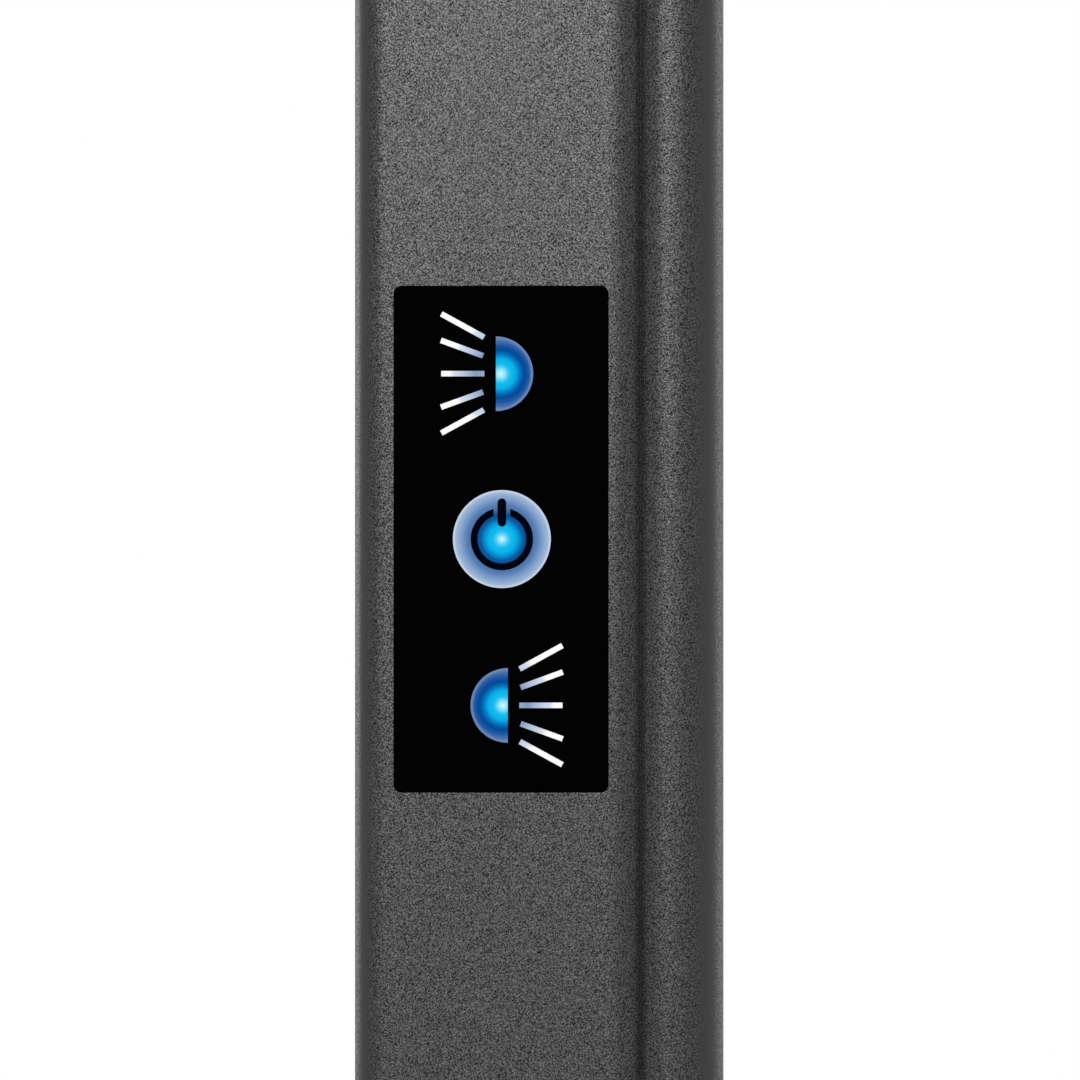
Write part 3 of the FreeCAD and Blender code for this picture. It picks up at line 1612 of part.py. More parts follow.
def make_trim_ring(side):
    """The ring below the dome's rim, with a spigot inside the skirt that carries the diffuser."""
    body = new_body(f"trim_ring_{side}")
    bottom = dome_rim - size.trim_lip
    spigot = dome_inner - size.seat_gap
    turned(
        body,
        lambda s: loop(
            s,
            [
                (size.trim_opening, trim_top),
                (size.trim_opening, bottom + size.trim_lip / 2),
                (size.trim_opening + size.trim_lip / 2, bottom),
                (size.dome_radius - size.trim_lip / 2, bottom),
                (size.dome_radius, bottom + size.trim_lip / 2),
                (size.dome_radius, dome_rim),
                (spigot, dome_rim),
                (spigot, trim_top),
            ],
        ),
    )
    place(body, side, tilt_x, arm_axis)


def make_all():
    """Every sub-part, from the floor up and then out along each arm."""
    for make in (
        make_rubber_feet,
        make_base_weight,
        make_base_cover,
        make_base_bolts,
        make_column_shoe,
        make_shoe_screws,
        make_column,
        make_inlet_box,
        make_inlet_pins,
        make_rear_screws,
        make_driver_bracket,
        make_led_driver,
        make_column_leads,
        make_touch_panel,
        make_light_guide,
        make_touch_board,
        make_panel_tray,
        make_lower_bracket,
        make_bracket_screws,
        make_pivot_pins,
        make_upper_bracket,
        make_pivot_nuts,
        make_top_cover,
    ):
        make()
    for side in ("left", "right"):
        for make in (
            make_arm_eye,
            make_eye_bushes,
            make_arm_tube,
            make_arm_tip,
            make_arm_lead,
            make_swivel,
            make_swivel_grub,
            make_head_fork,
            make_tilt_washers,
            make_tilt_bolt,
            make_tilt_nut,
            make_head_dome,
            make_head_screws,
            make_heat_sink,
            make_led_board,
            make_reflector,
            make_diffuser,
            make_trim_ring,
        ):
            make(side)


def check_all():
    """Stop if any object failed or any sub-part's shape is missing or not valid."""
    for item in document.Objects:
        if "Invalid" in item.State or "Error" in item.State:
            raise RuntimeError(f"{item.Label} failed: {item.State}")
    for body in bodies():
        shape = body.Shape
        if shape.isNull() or not shape.isValid() or not shape.Solids:
            raise RuntimeError(f"{body.Label} has no valid solid")


def bodies():
    """The sub-parts in the order they were made."""
    return [item for item in document.Objects if item.TypeId == "PartDesign::Body"]


def write_all():
    """One STEP file for each sub-part."""
    os.makedirs("parts", exist_ok=True)
    for body in bodies():
        body.Shape.exportStep(f"parts/{body.Label}.step")


make_all()
document.recompute()
check_all()
write_all()
print(f"{len(bodies())} sub-parts written")
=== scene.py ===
"""Two-head floor lamp: finishes, lit touch marks, rounded edges, floor, lights and camera."""
import json
import math

import bmesh
import bpy
from bpy.props import FloatProperty, FloatVectorProperty, PointerProperty
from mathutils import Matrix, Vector

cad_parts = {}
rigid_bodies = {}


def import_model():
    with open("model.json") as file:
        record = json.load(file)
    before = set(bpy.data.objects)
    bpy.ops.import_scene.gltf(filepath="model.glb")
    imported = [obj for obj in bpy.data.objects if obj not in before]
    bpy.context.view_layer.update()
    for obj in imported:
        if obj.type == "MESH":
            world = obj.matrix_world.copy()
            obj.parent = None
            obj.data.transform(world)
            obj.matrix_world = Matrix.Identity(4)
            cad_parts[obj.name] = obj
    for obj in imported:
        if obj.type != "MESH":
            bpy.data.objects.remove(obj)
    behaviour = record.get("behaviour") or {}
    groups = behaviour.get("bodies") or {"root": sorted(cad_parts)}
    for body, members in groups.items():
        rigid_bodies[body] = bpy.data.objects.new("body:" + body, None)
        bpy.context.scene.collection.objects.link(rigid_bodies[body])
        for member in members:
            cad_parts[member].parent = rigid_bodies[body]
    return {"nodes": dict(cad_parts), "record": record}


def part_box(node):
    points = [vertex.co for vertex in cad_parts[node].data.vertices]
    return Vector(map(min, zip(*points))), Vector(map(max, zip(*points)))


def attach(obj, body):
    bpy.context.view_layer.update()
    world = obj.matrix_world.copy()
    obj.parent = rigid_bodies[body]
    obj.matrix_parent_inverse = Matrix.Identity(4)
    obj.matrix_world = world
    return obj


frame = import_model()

bl_info = {
    "name": "Two-head floor lamp",
    "version": (1, 0, 0),
    "blender": (4, 5, 0),
    "location": "3D View > Sidebar > Floor lamp",
    "description": "Gives the floor lamp its finishes, lit touch marks and rounded edges",
    "category": "Object",
}


# Settings


def length_property(name, description, default):
    """A length that a user may change, in metres."""
    return FloatProperty(
        name=name, description=description, default=default, min=0.0,
        precision=5, subtype="DISTANCE", unit="LENGTH")


def color_property(name, description, default):
    """A colour that a user may change."""
    return FloatVectorProperty(
        name=name, description=description, default=default, size=3,
        min=0.0, max=1.0, subtype="COLOR")


def share_property(name, description, default):
    """A share from 0 to 1 that a user may change."""
    return FloatProperty(
        name=name, description=description, default=default,
        min=0.0, max=1.0, subtype="FACTOR")


class LampFinishes(bpy.types.PropertyGroup):
    """Colours and textures of the lamp's finishes"""

    powder_color: color_property(
        "Powder coat", "Colour of the coat on the column, arms and domes", (0.020, 0.020, 0.020))
    powder_grain: length_property(
        "Coat grain", "Distance from one grain of the powder coat to the next", 0.00021)
    powder_relief: length_property(
        "Coat relief", "Height of the powder coat's grains", 0.00002)
    powder_roughness: share_property(
        "Coat roughness", "How dull the powder coat is", 0.36)
    powder_contrast: FloatProperty(
        name="Coat contrast", default=2.6, min=0.0,
        description="How sharply the shiny grains stand out from what lies between them")
    # The root of the groove is where the column's coat gets painted shade
    groove_root: length_property(
        "Groove root", "Distance from the column's middle to the root of its groove", 0.01422)
    steel_color: color_property(
        "Zinc plate", "Colour of the plated bolts, screws, pins and nuts", (0.42, 0.42, 0.41))
    brass_color: color_property(
        "Contact brass", "Colour of the inlet's pins", (0.62, 0.45, 0.20))
    aluminium_color: color_property(
        "Bare aluminium", "Colour of the heat sinks", (0.52, 0.52, 0.53))
    black_color: color_property(
        "Black plastic", "Colour of the inlet box and the panel's tray", (0.022, 0.022, 0.024))
    grey_color: color_property(
        "Grey plastic", "Colour of the top cover and the trim rings", (0.040, 0.0405, 0.042))
    opal_color: color_property(
        "Opal plastic", "Colour of the diffusers", (0.80, 0.80, 0.78))
    rubber_color: color_property(
        "Rubber", "Colour of the feet and the leads", (0.020, 0.020, 0.020))


class LampMarks(bpy.types.PropertyGroup):
    """Sizes of the lit marks on the touch panel"""

    pitch: length_property(
        "Mark pitch", "Distance from the marks' middle to each head mark", 0.0233)
    lift: length_property(
        "Mark lift", "How far the marks stand in front of the panel's face", 0.00003)
    power_radius: length_property(
        "Power mark", "Outer radius of the round power mark", 0.00688)
    ring_radius: length_property(
        "Ring radius", "Radius of the dark ring's middle line", 0.0039)
    ring_width: length_property(
        "Ring width", "Width of the dark ring's line", 0.00098)
    ring_gap: length_property(
        "Ring gap", "Distance from the mark's middle to each end of the dark ring", 0.00116)
    bar_width: length_property(
        "Bar width", "Width of the dark upright bar", 0.00123)
    head_radius: length_property(
        "Head mark", "Radius of the half disc in each head mark", 0.00524)
    ray_width: length_property(
        "Ray width", "Width of the rays beside a half disc", 0.00077)


class LampEdges(bpy.types.PropertyGroup):
    """How far the finishes round the pieces' edges"""

    coated: length_property(
        "Coated edges", "Radius that the powder coat gives an edge", 0.00045)
    moulded: length_property(
        "Moulded edges", "Radius of the edges of plastic pieces", 0.0004)
    machined: length_property(
        "Machined edges", "Radius of the edges of metal pieces", 0.0002)
    window: length_property(
        "Window edges", "Radius of the coated edges round the touch panel", 0.0001)


class LampStage(bpy.types.PropertyGroup):
    """The floor, the lights and the camera"""

    floor_radius: length_property(
        "Floor radius", "Radius of the round floor", 5.0)
    floor_color: color_property(
        "Floor", "Colour of the floor", (0.80, 0.80, 0.80))
    camera_distance: length_property(
        "Camera distance", "Distance from the camera to the column's front", 1.0)
    frame_width: length_property(
        "Frame width", "Width of what the camera sees at the column's front", 0.15174)
    ambient: share_property(
        "Ambient light", "Strength of the even light from all sides", 0.2)


# Colours


def linear(*channels):
    """A colour written as on a screen, from 0 to 255, in linear light and with full alpha."""
    values = [channel / 255 for channel in channels]
    return [v / 12.92 if v <= 0.04045 else ((v + 0.055) / 1.055) ** 2.4 for v in values] + [1.0]


def scaled(color, factor):
    """A colour made lighter or darker, with full alpha."""
    return [min(channel * factor, 1.0) for channel in color[:3]] + [1.0]


# Shader nodes as expressions


class Number:
    """A number that nodes work out, so that shader maths reads as plain expressions."""

    def __init__(self, nodes, socket):
        self.nodes = nodes
        self.socket = socket

    def math(self, operation, *values):
        """Add a Math node."""
        node = self.nodes.node(
            "ShaderNodeMath", {"operation": operation}, dict(enumerate(values)))
        return Number(self.nodes, node.outputs[0])

    def __add__(self, other):
        return self.math("ADD", self, other)

    __radd__ = __add__

    def __mul__(self, other):
        return self.math("MULTIPLY", self, other)

    __rmul__ = __mul__

    def __sub__(self, other):
        return self.math("SUBTRACT", self, other)

    def __rsub__(self, other):
        return self.math("SUBTRACT", other, self)

    def __truediv__(self, other):
        return self.math("DIVIDE", self, other)

    def __rtruediv__(self, other):
        return self.math("DIVIDE", other, self)

    def __pow__(self, other):
        return self.math("POWER", self, other)

    def __rpow__(self, other):
        return self.math("POWER", other, self)

    def __abs__(self):
        return self.math("ABSOLUTE", self)

    def larger(self, other):
        """The larger of two numbers."""
        return self.math("MAXIMUM", self, other)

    def step(self, start, end):
        """Rises smoothly from 0 to 1 between start and end."""
        node = self.nodes.node(
            "ShaderNodeMapRange", {"interpolation_type": "SMOOTHSTEP"},
            {0: self, 1: start, 2: end})
        return Number(self.nodes, node.outputs[0])

    def around(self, middle, spread):
        """A number from 0 to 1 turned into one around middle, with spread from end to end."""
        return self * spread + (middle - spread / 2)


class Nodes:
    """A node tree and the ways to add to it."""

    def __init__(self, tree):
        self.tree = tree

    def feed(self, node, inputs):
        """Give a node's sockets their values or links."""
        for key, value in inputs.items():
            socket = node.inputs[key]
            if isinstance(value, Number):
                self.tree.links.new(value.socket, socket)
            elif isinstance(value, bpy.types.NodeSocket):
                self.tree.links.new(value, socket)
            else:
                socket.default_value = value

    def node(self, kind, options, inputs):
        """Add a node: its options come first, then the values or links of its sockets."""
        node = self.tree.nodes.new(kind)
        for name, value in options.items():
            if name == "stops":
                self.set_stops(node.color_ramp, value)
            else:
                setattr(node, name, value)
        self.feed(node, inputs)
        return node

    def set_stops(self, ramp, stops):
        """Give a colour ramp its stops, as places and colours."""
        while len(ramp.elements) < len(stops):
            ramp.elements.new(1.0)
        for element, (place, color) in zip(ramp.elements, stops):
            element.position = place
            element.color = color

    def place(self):
        """The place of a point on the piece, in metres."""
        return self.node("ShaderNodeTexCoord", {}, {}).outputs["Object"]

    def facing(self):
        """The direction that the piece's surface faces, in the piece's own axes."""
        return self.node("ShaderNodeTexCoord", {}, {}).outputs["Normal"]

    def vector(self, operation, *values):
        """Add a Vector Math node and return its vector, or its number where it has one."""
        node = self.node(
            "ShaderNodeVectorMath", {"operation": operation}, dict(enumerate(values)))
        if operation in ("LENGTH", "DISTANCE"):
            return Number(self, node.outputs["Value"])
        return node.outputs["Vector"]

    def parts(self, vector):
        """A vector's three numbers."""
        node = self.node("ShaderNodeSeparateXYZ", {}, {0: vector})
        return [Number(self, socket) for socket in node.outputs]

    def noise(self, vector, distance, detail, roughness):
        """Noise from 0 to 1 whose grains lie about distance apart, askew to the piece's faces."""
        askew = self.node(
            "ShaderNodeMapping", {}, {"Vector": vector, "Rotation": (0.5, 0.7, 0.3)})
        node = self.node("ShaderNodeTexNoise", {}, {
            "Vector": askew.outputs[0],
            "Scale": 1.0 / distance,
            "Detail": detail,
            "Roughness": roughness,
        })
        return Number(self, node.outputs[0])

    def mix(self, factor, first, second):
        """A colour between two others."""
        node = self.node(
            "ShaderNodeMix", {"data_type": "RGBA"}, {0: factor, 6: first, 7: second})
        return node.outputs[2]

    def shades(self, color, factor, low, high):
        """A colour that is low times as bright where factor is 0, and high times at 1."""
        return self.mix(factor, scaled(color, low), scaled(color, high))

    def ramp(self, factor, stops):
        """A colour that runs through stops as factor rises from 0 to 1."""
        return self.node("ShaderNodeValToRGB", {"stops": stops}, {0: factor}).outputs[0]

    def mix_shaders(self, factor, first, second):
        """One shader's output where factor is 0, and another's where it is 1."""
        node = self.node("ShaderNodeMixShader", {}, {0: factor, 1: first, 2: second})
        return node.outputs[0]

    def background_share(self):
        """1 for rays of the camera and rays through gloss or glass, which show the background."""
        path = self.node("ShaderNodeLightPath", {}, {})
        seen, glossy, through = [
            Number(self, path.outputs[f"Is {kind} Ray"])
            for kind in ("Camera", "Glossy", "Transmission")]
        return seen.larger(glossy.larger(through))


class Finish(Nodes):
    """A material, with the nodes that make it."""

    def __init__(self, name, color, roughness, metallic=0.0, **constants):
        self.material = bpy.data.materials.new("lamp_" + name)
        self.material.use_nodes = True
        super().__init__(self.material.node_tree)
        self.surface = self.tree.nodes["Principled BSDF"]
        values = {
            "Base Color": scaled(color, 1.0), "Roughness": roughness, "Metallic": metallic}
        values.update({key.replace("_", " "): value for key, value in constants.items()})
        self.feed(self.surface, values)

    def relief(self, height, distance, edge):
        """Round the edges to the radius edge, and raise the surface by height times distance."""
        rounded = self.node("ShaderNodeBevel", {"samples": 6}, {"Radius": edge})
        node = self.node("ShaderNodeBump", {}, {
            "Height": height,
            "Distance": distance,
            "Strength": 1.0,
            "Normal": rounded.outputs[0],
        })
        self.feed(self.surface, {"Normal": node.outputs[0]})
        return node.outputs[0]

    def blend(self, factor, first, second):
        """Make the material one shader where factor is 0, and another where it is 1."""
        output = self.tree.nodes["Material Output"]
        self.feed(output, {"Surface": self.mix_shaders(factor, first, second)})


# Finishes, each named after a material slot

# The powder coat's shiny grains and the coat between them: their shades and specular levels
GRAIN_SHADE, GRAIN_GLOSS = 1.5, 1.0
GROUND_SHADE, GROUND_GLOSS = 0.5, 0.02
# How fast a grain gives way to what surrounds it
GRAIN_FALLOFF = 1.3
# How squarely the column's surface faces the front or a side, from no grain to full grain
SQUARE = (0.72, 0.97)
# Distances from the column's middle between which SQUARE comes to count
OUTER_CORNERS = (0.0175, 0.0195)
# Distances from the groove's root between which the painted shade in that crease, a darker and
# duller coat, gives way to the shiny coat
ROOT_PAINTED_SHADE = (-0.00008, 0.00022)

# Colour, roughness and specular level of the polished front, which covers the lit marks too
FRONT_COLOR = (0.0002, 0.0002, 0.0002)
FRONT_ROUGHNESS = 0.06
FRONT_GLOSS = 0.008


def powder_coat(name, color, on_column=False):
    """A fine-textured powder coat: shiny grains, with darker and duller coat between them.

    On the column it runs evenly over the round corners, and the root of the groove gets painted
    shade: there the coat is darker and duller.
    """
    finishes = bpy.context.scene.lamp_finishes
    edges = bpy.context.scene.lamp_edges
    roughness = finishes.powder_roughness
    finish = Finish(name, scaled(color, GRAIN_SHADE), roughness, Specular_IOR_Level=GRAIN_GLOSS)
    place = finish.place()
    grain = finish.noise(place, finishes.powder_grain, detail=1.0, roughness=0.5) - 0.5
    clear_of_painted_shade = 1.0
    edge = edges.coated
    if on_column:
        x = finish.parts(place)[0]
        across, front, _ = [abs(part) for part in finish.parts(finish.facing())]
        inside = 1.0 - abs(x).step(*OUTER_CORNERS)
        grain = grain * across.larger(front).step(*SQUARE).larger(inside)
        # Painted shade: the coat turns darker and duller along the groove's root
        clear_of_painted_shade = abs(x - finishes.groove_root).step(*ROOT_PAINTED_SHADE)
        edge = edges.window
    normal = finish.relief(grain, finishes.powder_relief, edge)
    ground = finish.node("ShaderNodeBsdfPrincipled", {}, {
        "Base Color": scaled(color, GROUND_SHADE),
        "Roughness": roughness,
        "Specular IOR Level": GROUND_GLOSS,
        "Normal": normal,
    })
    # The share of shiny grains, which the painted shade along the groove's root brings to 0
    share = (grain * finishes.powder_contrast + 0.5).larger(0.0) ** GRAIN_FALLOFF * clear_of_painted_shade
    finish.blend(share, ground.outputs[0], finish.surface.outputs[0])


def moulded(name, color, roughness, grain=0.0006, relief=0.00001):
    """Moulded plastic or rubber with a faint texture from its mould."""
    finish = Finish(name, color, roughness)
    texture = finish.noise(finish.place(), grain, detail=2.0, roughness=0.6)
    clouds = finish.noise(finish.place(), distance=0.03, detail=2.0, roughness=0.5)
    finish.feed(finish.surface, {
        "Base Color": finish.shades(color, clouds, low=0.93, high=1.07),
        "Roughness": clouds.around(roughness, spread=0.08),
    })
    finish.relief(texture, relief, bpy.context.scene.lamp_edges.moulded)


def metal(name, color, roughness):
    """Bare or plated metal with fine marks from its making."""
    finish = Finish(name, color, roughness, metallic=1.0)
    marks = finish.noise(finish.place(), distance=0.0004, detail=3.0, roughness=0.6)
    clouds = finish.noise(finish.place(), distance=0.006, detail=2.0, roughness=0.5)
    finish.feed(finish.surface, {
        "Base Color": finish.shades(color, clouds, low=0.88, high=1.08),
        "Roughness": marks.around(roughness, spread=0.16),
    })
    finish.relief(marks, distance=0.000004, edge=bpy.context.scene.lamp_edges.machined)


def cast(name, color):
    """Painted cast iron with a rough skin."""
    finish = Finish(name, color, roughness=0.6)
    skin = finish.noise(finish.place(), distance=0.0018, detail=4.0, roughness=0.6)
    finish.feed(finish.surface, {"Base Color": finish.shades(color, skin, low=0.8, high=1.2)})
    finish.relief(skin, distance=0.0002, edge=bpy.context.scene.lamp_edges.coated)


def gloss_black(name):
    """The touch panel's polished black front, with faint upright wipe marks."""
    finish = Finish(name, FRONT_COLOR, FRONT_ROUGHNESS, Specular_IOR_Level=FRONT_GLOSS)
    upright = finish.vector("MULTIPLY", finish.place(), (1.0, 1.0, 0.25))
    smear = finish.noise(upright, distance=0.012, detail=3.0, roughness=0.5)
    finish.feed(finish.surface, {"Roughness": smear.around(FRONT_ROUGHNESS, spread=0.05)})


def make_finishes():
    """Make every finish of the lamp's pieces."""
    colors = bpy.context.scene.lamp_finishes
    coat_color = tuple(colors.powder_color)
    rubber = tuple(colors.rubber_color)
    powder_coat("powder_coat", coat_color)
    # The column's own coat, with painted shade along the root of its groove
    powder_coat("column_coat_and_groove_shade", coat_color, on_column=True)
    powder_coat("base_paint", coat_color)
    cast("cast_weight", (0.05, 0.05, 0.05))
    metal("zinc_steel", tuple(colors.steel_color), roughness=0.32)
    metal("contact_brass", tuple(colors.brass_color), roughness=0.25)
    metal("bare_aluminium", tuple(colors.aluminium_color), roughness=0.35)
    gloss_black("gloss_black")
    moulded("rubber", rubber, roughness=0.75, grain=0.0008, relief=0.00002)
    moulded("lead_sleeve", rubber, roughness=0.55)
    moulded("black_plastic", tuple(colors.black_color), roughness=0.5)
    moulded("grey_plastic", tuple(colors.grey_color), roughness=0.48)
    moulded("opal_plastic", tuple(colors.opal_color), roughness=0.35)
    moulded("driver_case", (0.75, 0.75, 0.73), roughness=0.45)
    moulded("white_plastic", (0.8, 0.8, 0.8), roughness=0.4)
    moulded("board_green", (0.03, 0.16, 0.07), roughness=0.35)
    moulded("white_board", (0.8, 0.8, 0.76), roughness=0.3)
    moulded("bush_nylon", (0.72, 0.70, 0.63), roughness=0.4)
    moulded("white_gloss", (0.85, 0.85, 0.84), roughness=0.2)


def record_slot(node):
    """The material slot that the record gives a node."""
    subparts = frame["record"]["subparts"]
    return next(part["material_slot"] for part in subparts if part["node"] == node)


def coat(*nodes, finish=None):
    """Give CAD nodes a finish by its name, or else the finish of their slot."""
    for node in nodes:
        piece = frame["nodes"][node]
        material = bpy.data.materials["lamp_" + (finish or record_slot(node))]
        if not piece.material_slots:
            piece.data.materials.append(material)
        for slot in piece.material_slots:
            slot.link = "OBJECT"
            slot.material = material


def both(*names):
    """The node names of both sides."""
    return [f"{name}_{side}" for side in ("left", "right") for name in names]


# Thin plates


def slab(name, outline, front, back):
    """A thin closed plate in the plane of outline's x and z, from front to back along y."""
    work = bmesh.new()
    near = [work.verts.new((x, front, z)) for x, z in outline]
    far = [work.verts.new((x, back, z)) for x, z in outline]
    work.faces.new(near)
    work.faces.new(reversed(far))
    for index in range(len(near)):
        after = (index + 1) % len(near)
        work.faces.new((near[after], near[index], far[index], far[after]))
    bmesh.ops.recalc_face_normals(work, faces=work.faces)
    mesh = bpy.data.meshes.new(name)
    work.to_mesh(mesh)
    work.free()
    return mesh


def joined(name, meshes):
    """One mesh of several."""
    work = bmesh.new()
    for mesh in meshes:
        work.from_mesh(mesh)
        bpy.data.meshes.remove(mesh)
    result = bpy.data.meshes.new(name)
    work.to_mesh(result)
    work.free()
    return result


def arc_points(x, z, radius, start, end, steps):
    """Points along an arc, with angles in degrees from +x towards +z."""
    angles = [math.radians(start + (end - start) * index / steps) for index in range(steps + 1)]
    return [(x + radius * math.cos(angle), z + radius * math.sin(angle)) for angle in angles]


# Touch marks

# How far the marks lie right of the panel's middle, in metres like all lengths here
MARKS_RIGHT = 0.00011
# How far the power mark lies above the panel's middle, and the head marks' middle below it
POWER_UP = 0.00003
HEADS_DOWN = 0.00004
# The dark bar's lower and upper ends above the power mark's middle
BAR_ENDS = (0.00174, 0.00572)
# Distance from a head mark's middle back to its flat side, and from there in to its glow
FLAT_BACK = 0.00084
GLOW_IN = 0.00066
# The half discs' pale rim: the shares of the radius between which it rises, and its strength
RIM = (0.90, 0.97)
RIM_STRENGTH = 0.8
# How far from a head mark's middle its glow reaches over the rays
RAY_GLOW = 0.0083
# The middles of each ray's near end and far end, from the mark's middle, with rays to the left
RAY_ENDS = [
    ((-0.00251, 0.00512), (-0.00850, 0.00841)),
    ((-0.00264, 0.00252), (-0.00856, 0.00469)),
    ((-0.00246, 0.00001), (-0.00852, 0.00001)),
    ((-0.00265, -0.00257), (-0.00855, -0.00470)),
    ((-0.00254, -0.00508), (-0.00850, -0.00833)),
]

POWER_STOPS = [
    (0.0, linear(222, 255, 255)),
    (0.06, linear(150, 226, 254)),
    (0.12, linear(78, 204, 248)),
    (0.18, linear(22, 185, 233)),
    (0.26, linear(7, 182, 236)),
    (0.32, linear(5, 158, 220)),
    (0.43, linear(5, 92, 161)),
    (0.50, linear(16, 76, 140)),
    (0.62, linear(76, 110, 162)),
    (0.72, linear(88, 128, 182)),
    (0.84, linear(129, 161, 204)),
    (0.94, linear(160, 183, 212)),
    (0.98, linear(198, 212, 232)),
]
HEAD_STOPS = [
    (0.0, linear(205, 253, 255)),
    (0.075, linear(169, 237, 254)),
    (0.18, linear(88, 208, 247)),
    (0.235, linear(38, 191, 239)),
    (0.29, linear(12, 186, 234)),
    (0.38, linear(8, 180, 232)),
    (0.445, linear(7, 154, 218)),
    (0.50, linear(4, 124, 197)),
    (0.60, linear(1, 85, 162)),
    (0.66, linear(2, 73, 149)),
    (0.76, linear(27, 86, 161)),
    (0.87, linear(66, 110, 170)),
    (0.95, linear(97, 127, 173)),
]
RAY_STOPS = [
    (0.0, linear(182, 203, 224)),
    (0.44, linear(131, 153, 188)),
    (0.58, linear(172, 186, 214)),
    (0.69, linear(193, 205, 226)),
    (0.81, linear(214, 221, 235)),
    (0.90, linear(255, 255, 255)),
]
RIM_COLOR = linear(112, 136, 180)
DARK_LINE_COLOR = linear(1, 3, 16)


def panel_place():
    """The panel's front face, and the middle of its width and its height."""
    low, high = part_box("touch_panel")
    return low.y, (low.x + high.x) / 2, (low.z + high.z) / 2


def mark_finish(name):
    """A lit mark behind the panel's polished front."""
    return Finish(
        name, (0.0, 0.0, 0.0), FRONT_ROUGHNESS,
        Specular_IOR_Level=FRONT_GLOSS, Emission_Strength=1.0)


def glow(finish, center, stops, reach):
    """Light that runs through stops from center out to reach."""
    spot = finish.vector("SUBTRACT", finish.place(), center)
    flat = finish.vector("MULTIPLY", spot, (1.0, 0.0, 1.0))
    return finish.ramp(finish.vector("LENGTH", flat) / reach, stops)


def new_mark(name, mesh, finish, light):
    """A mark that shines with light and stands on the touch panel, which the root carries."""
    finish.feed(finish.surface, {"Emission Color": light})
    mesh.materials.append(finish.material)
    piece = bpy.data.objects.new(name, mesh)
    bpy.context.scene.collection.objects.link(piece)
    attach(piece, "root")


class LAMP_OT_power_mark(bpy.types.Operator):
    """Make the round power mark"""

    bl_idname = "lamp.power_mark"
    bl_label = "Power mark"

    def execute(self, context):
        marks = context.scene.lamp_marks
        face, x, z = panel_place()
        x += MARKS_RIGHT
        z += POWER_UP
        front = face - marks.lift
        radius = marks.power_radius
        disc = slab("power_mark", arc_points(x, z, radius, 0.0, 360.0, 96)[:-1], front, face)
        finish = mark_finish("power_mark")
        new_mark("power_mark", disc, finish, glow(finish, (x, 0.0, z), POWER_STOPS, radius))
        lines = self.dark_lines(marks, front, x, z)
        finish = mark_finish("power_mark_lines")
        new_mark("power_mark_lines", lines, finish, DARK_LINE_COLOR)
        return {"FINISHED"}

    def dark_lines(self, marks, back, x, z):
        """The dark ring, open at its top, and the dark bar in its gap."""
        front = back - marks.lift
        outer = marks.ring_radius + marks.ring_width / 2
        inner = marks.ring_radius - marks.ring_width / 2
        ends = [math.degrees(math.asin(marks.ring_gap / radius)) for radius in (outer, inner)]
        ring = arc_points(x, z, outer, 90.0 + ends[0], 450.0 - ends[0], 96)
        ring += arc_points(x, z, inner, 450.0 - ends[1], 90.0 + ends[1], 96)
        half = marks.bar_width / 2
        low, high = z + BAR_ENDS[0] + half, z + BAR_ENDS[1] - half
        bar = arc_points(x, high, half, 0.0, 180.0, 16) + arc_points(x, low, half, 180.0, 360.0, 16)
        plates = [slab("ring", ring, front, back), slab("bar", bar, front, back)]
        return joined("power_mark_lines", plates)


class LAMP_OT_head_marks(bpy.types.Operator):
    """Make the mark of each lamp head: a half disc with five rays"""

    bl_idname = "lamp.head_marks"
    bl_label = "Head marks"

    def execute(self, context):
        marks = context.scene.lamp_marks
        face, x, z = panel_place()
        for side, turn in (("left", 1), ("right", -1)):
            middle = (x + MARKS_RIGHT, z - HEADS_DOWN + turn * marks.pitch)
            self.half_disc(marks, side, turn, face, *middle)
            self.rays(marks, side, turn, face, *middle)
        return {"FINISHED"}

    def half_disc(self, marks, side, turn, face, x, z):
        """The half disc, with its flat side to the left where turn is 1."""
        front = face - marks.lift
        radius = marks.head_radius
        flat = x - turn * FLAT_BACK
        half = arc_points(0.0, 0.0, radius, -90.0, 90.0, 48)
        outline = [(flat + turn * px, z + pz) for px, pz in half]
        finish = mark_finish(f"head_mark_{side}")
        light = glow(finish, (flat + turn * GLOW_IN, 0.0, z), HEAD_STOPS, radius)
        from_flat = finish.vector("DISTANCE", finish.place(), (flat, front, z)) / radius
        light = finish.mix(from_flat.step(*RIM) * RIM_STRENGTH, light, RIM_COLOR)
        disc = slab(f"head_mark_{side}", outline, front, face)
        new_mark(f"head_mark_{side}", disc, finish, light)

    def rays(self, marks, side, turn, face, x, z):
        """The rays, white at their far ends and pale blue at their near ones."""
        plates = []
        for ends in RAY_ENDS:
            near, far = [Vector((x + turn * px, z + pz)) for px, pz in ends]
            along = (far - near).normalized()
            across = Vector((-along.y, along.x)) * marks.ray_width / 2
            corners = [near + across, near - across, far - across, far + across]
            outline = [tuple(corner) for corner in corners]
            plates.append(slab("ray", outline, face - marks.lift, face))
        name = f"head_rays_{side}"
        finish = mark_finish(name)
        light = glow(finish, (x, 0.0, z), RAY_STOPS, RAY_GLOW)
        new_mark(name, joined(name, plates), finish, light)


# The lamp's pieces


class LAMP_OT_base(bpy.types.Operator):
    """Finish the weight, its cover, the shoe and the rubber feet"""

    bl_idname = "lamp.base"
    bl_label = "Base"

    def execute(self, context):
        coat("base_weight", "base_cover", "rubber_feet", "base_bolts")
        coat("column_shoe", "shoe_screws")
        return {"FINISHED"}


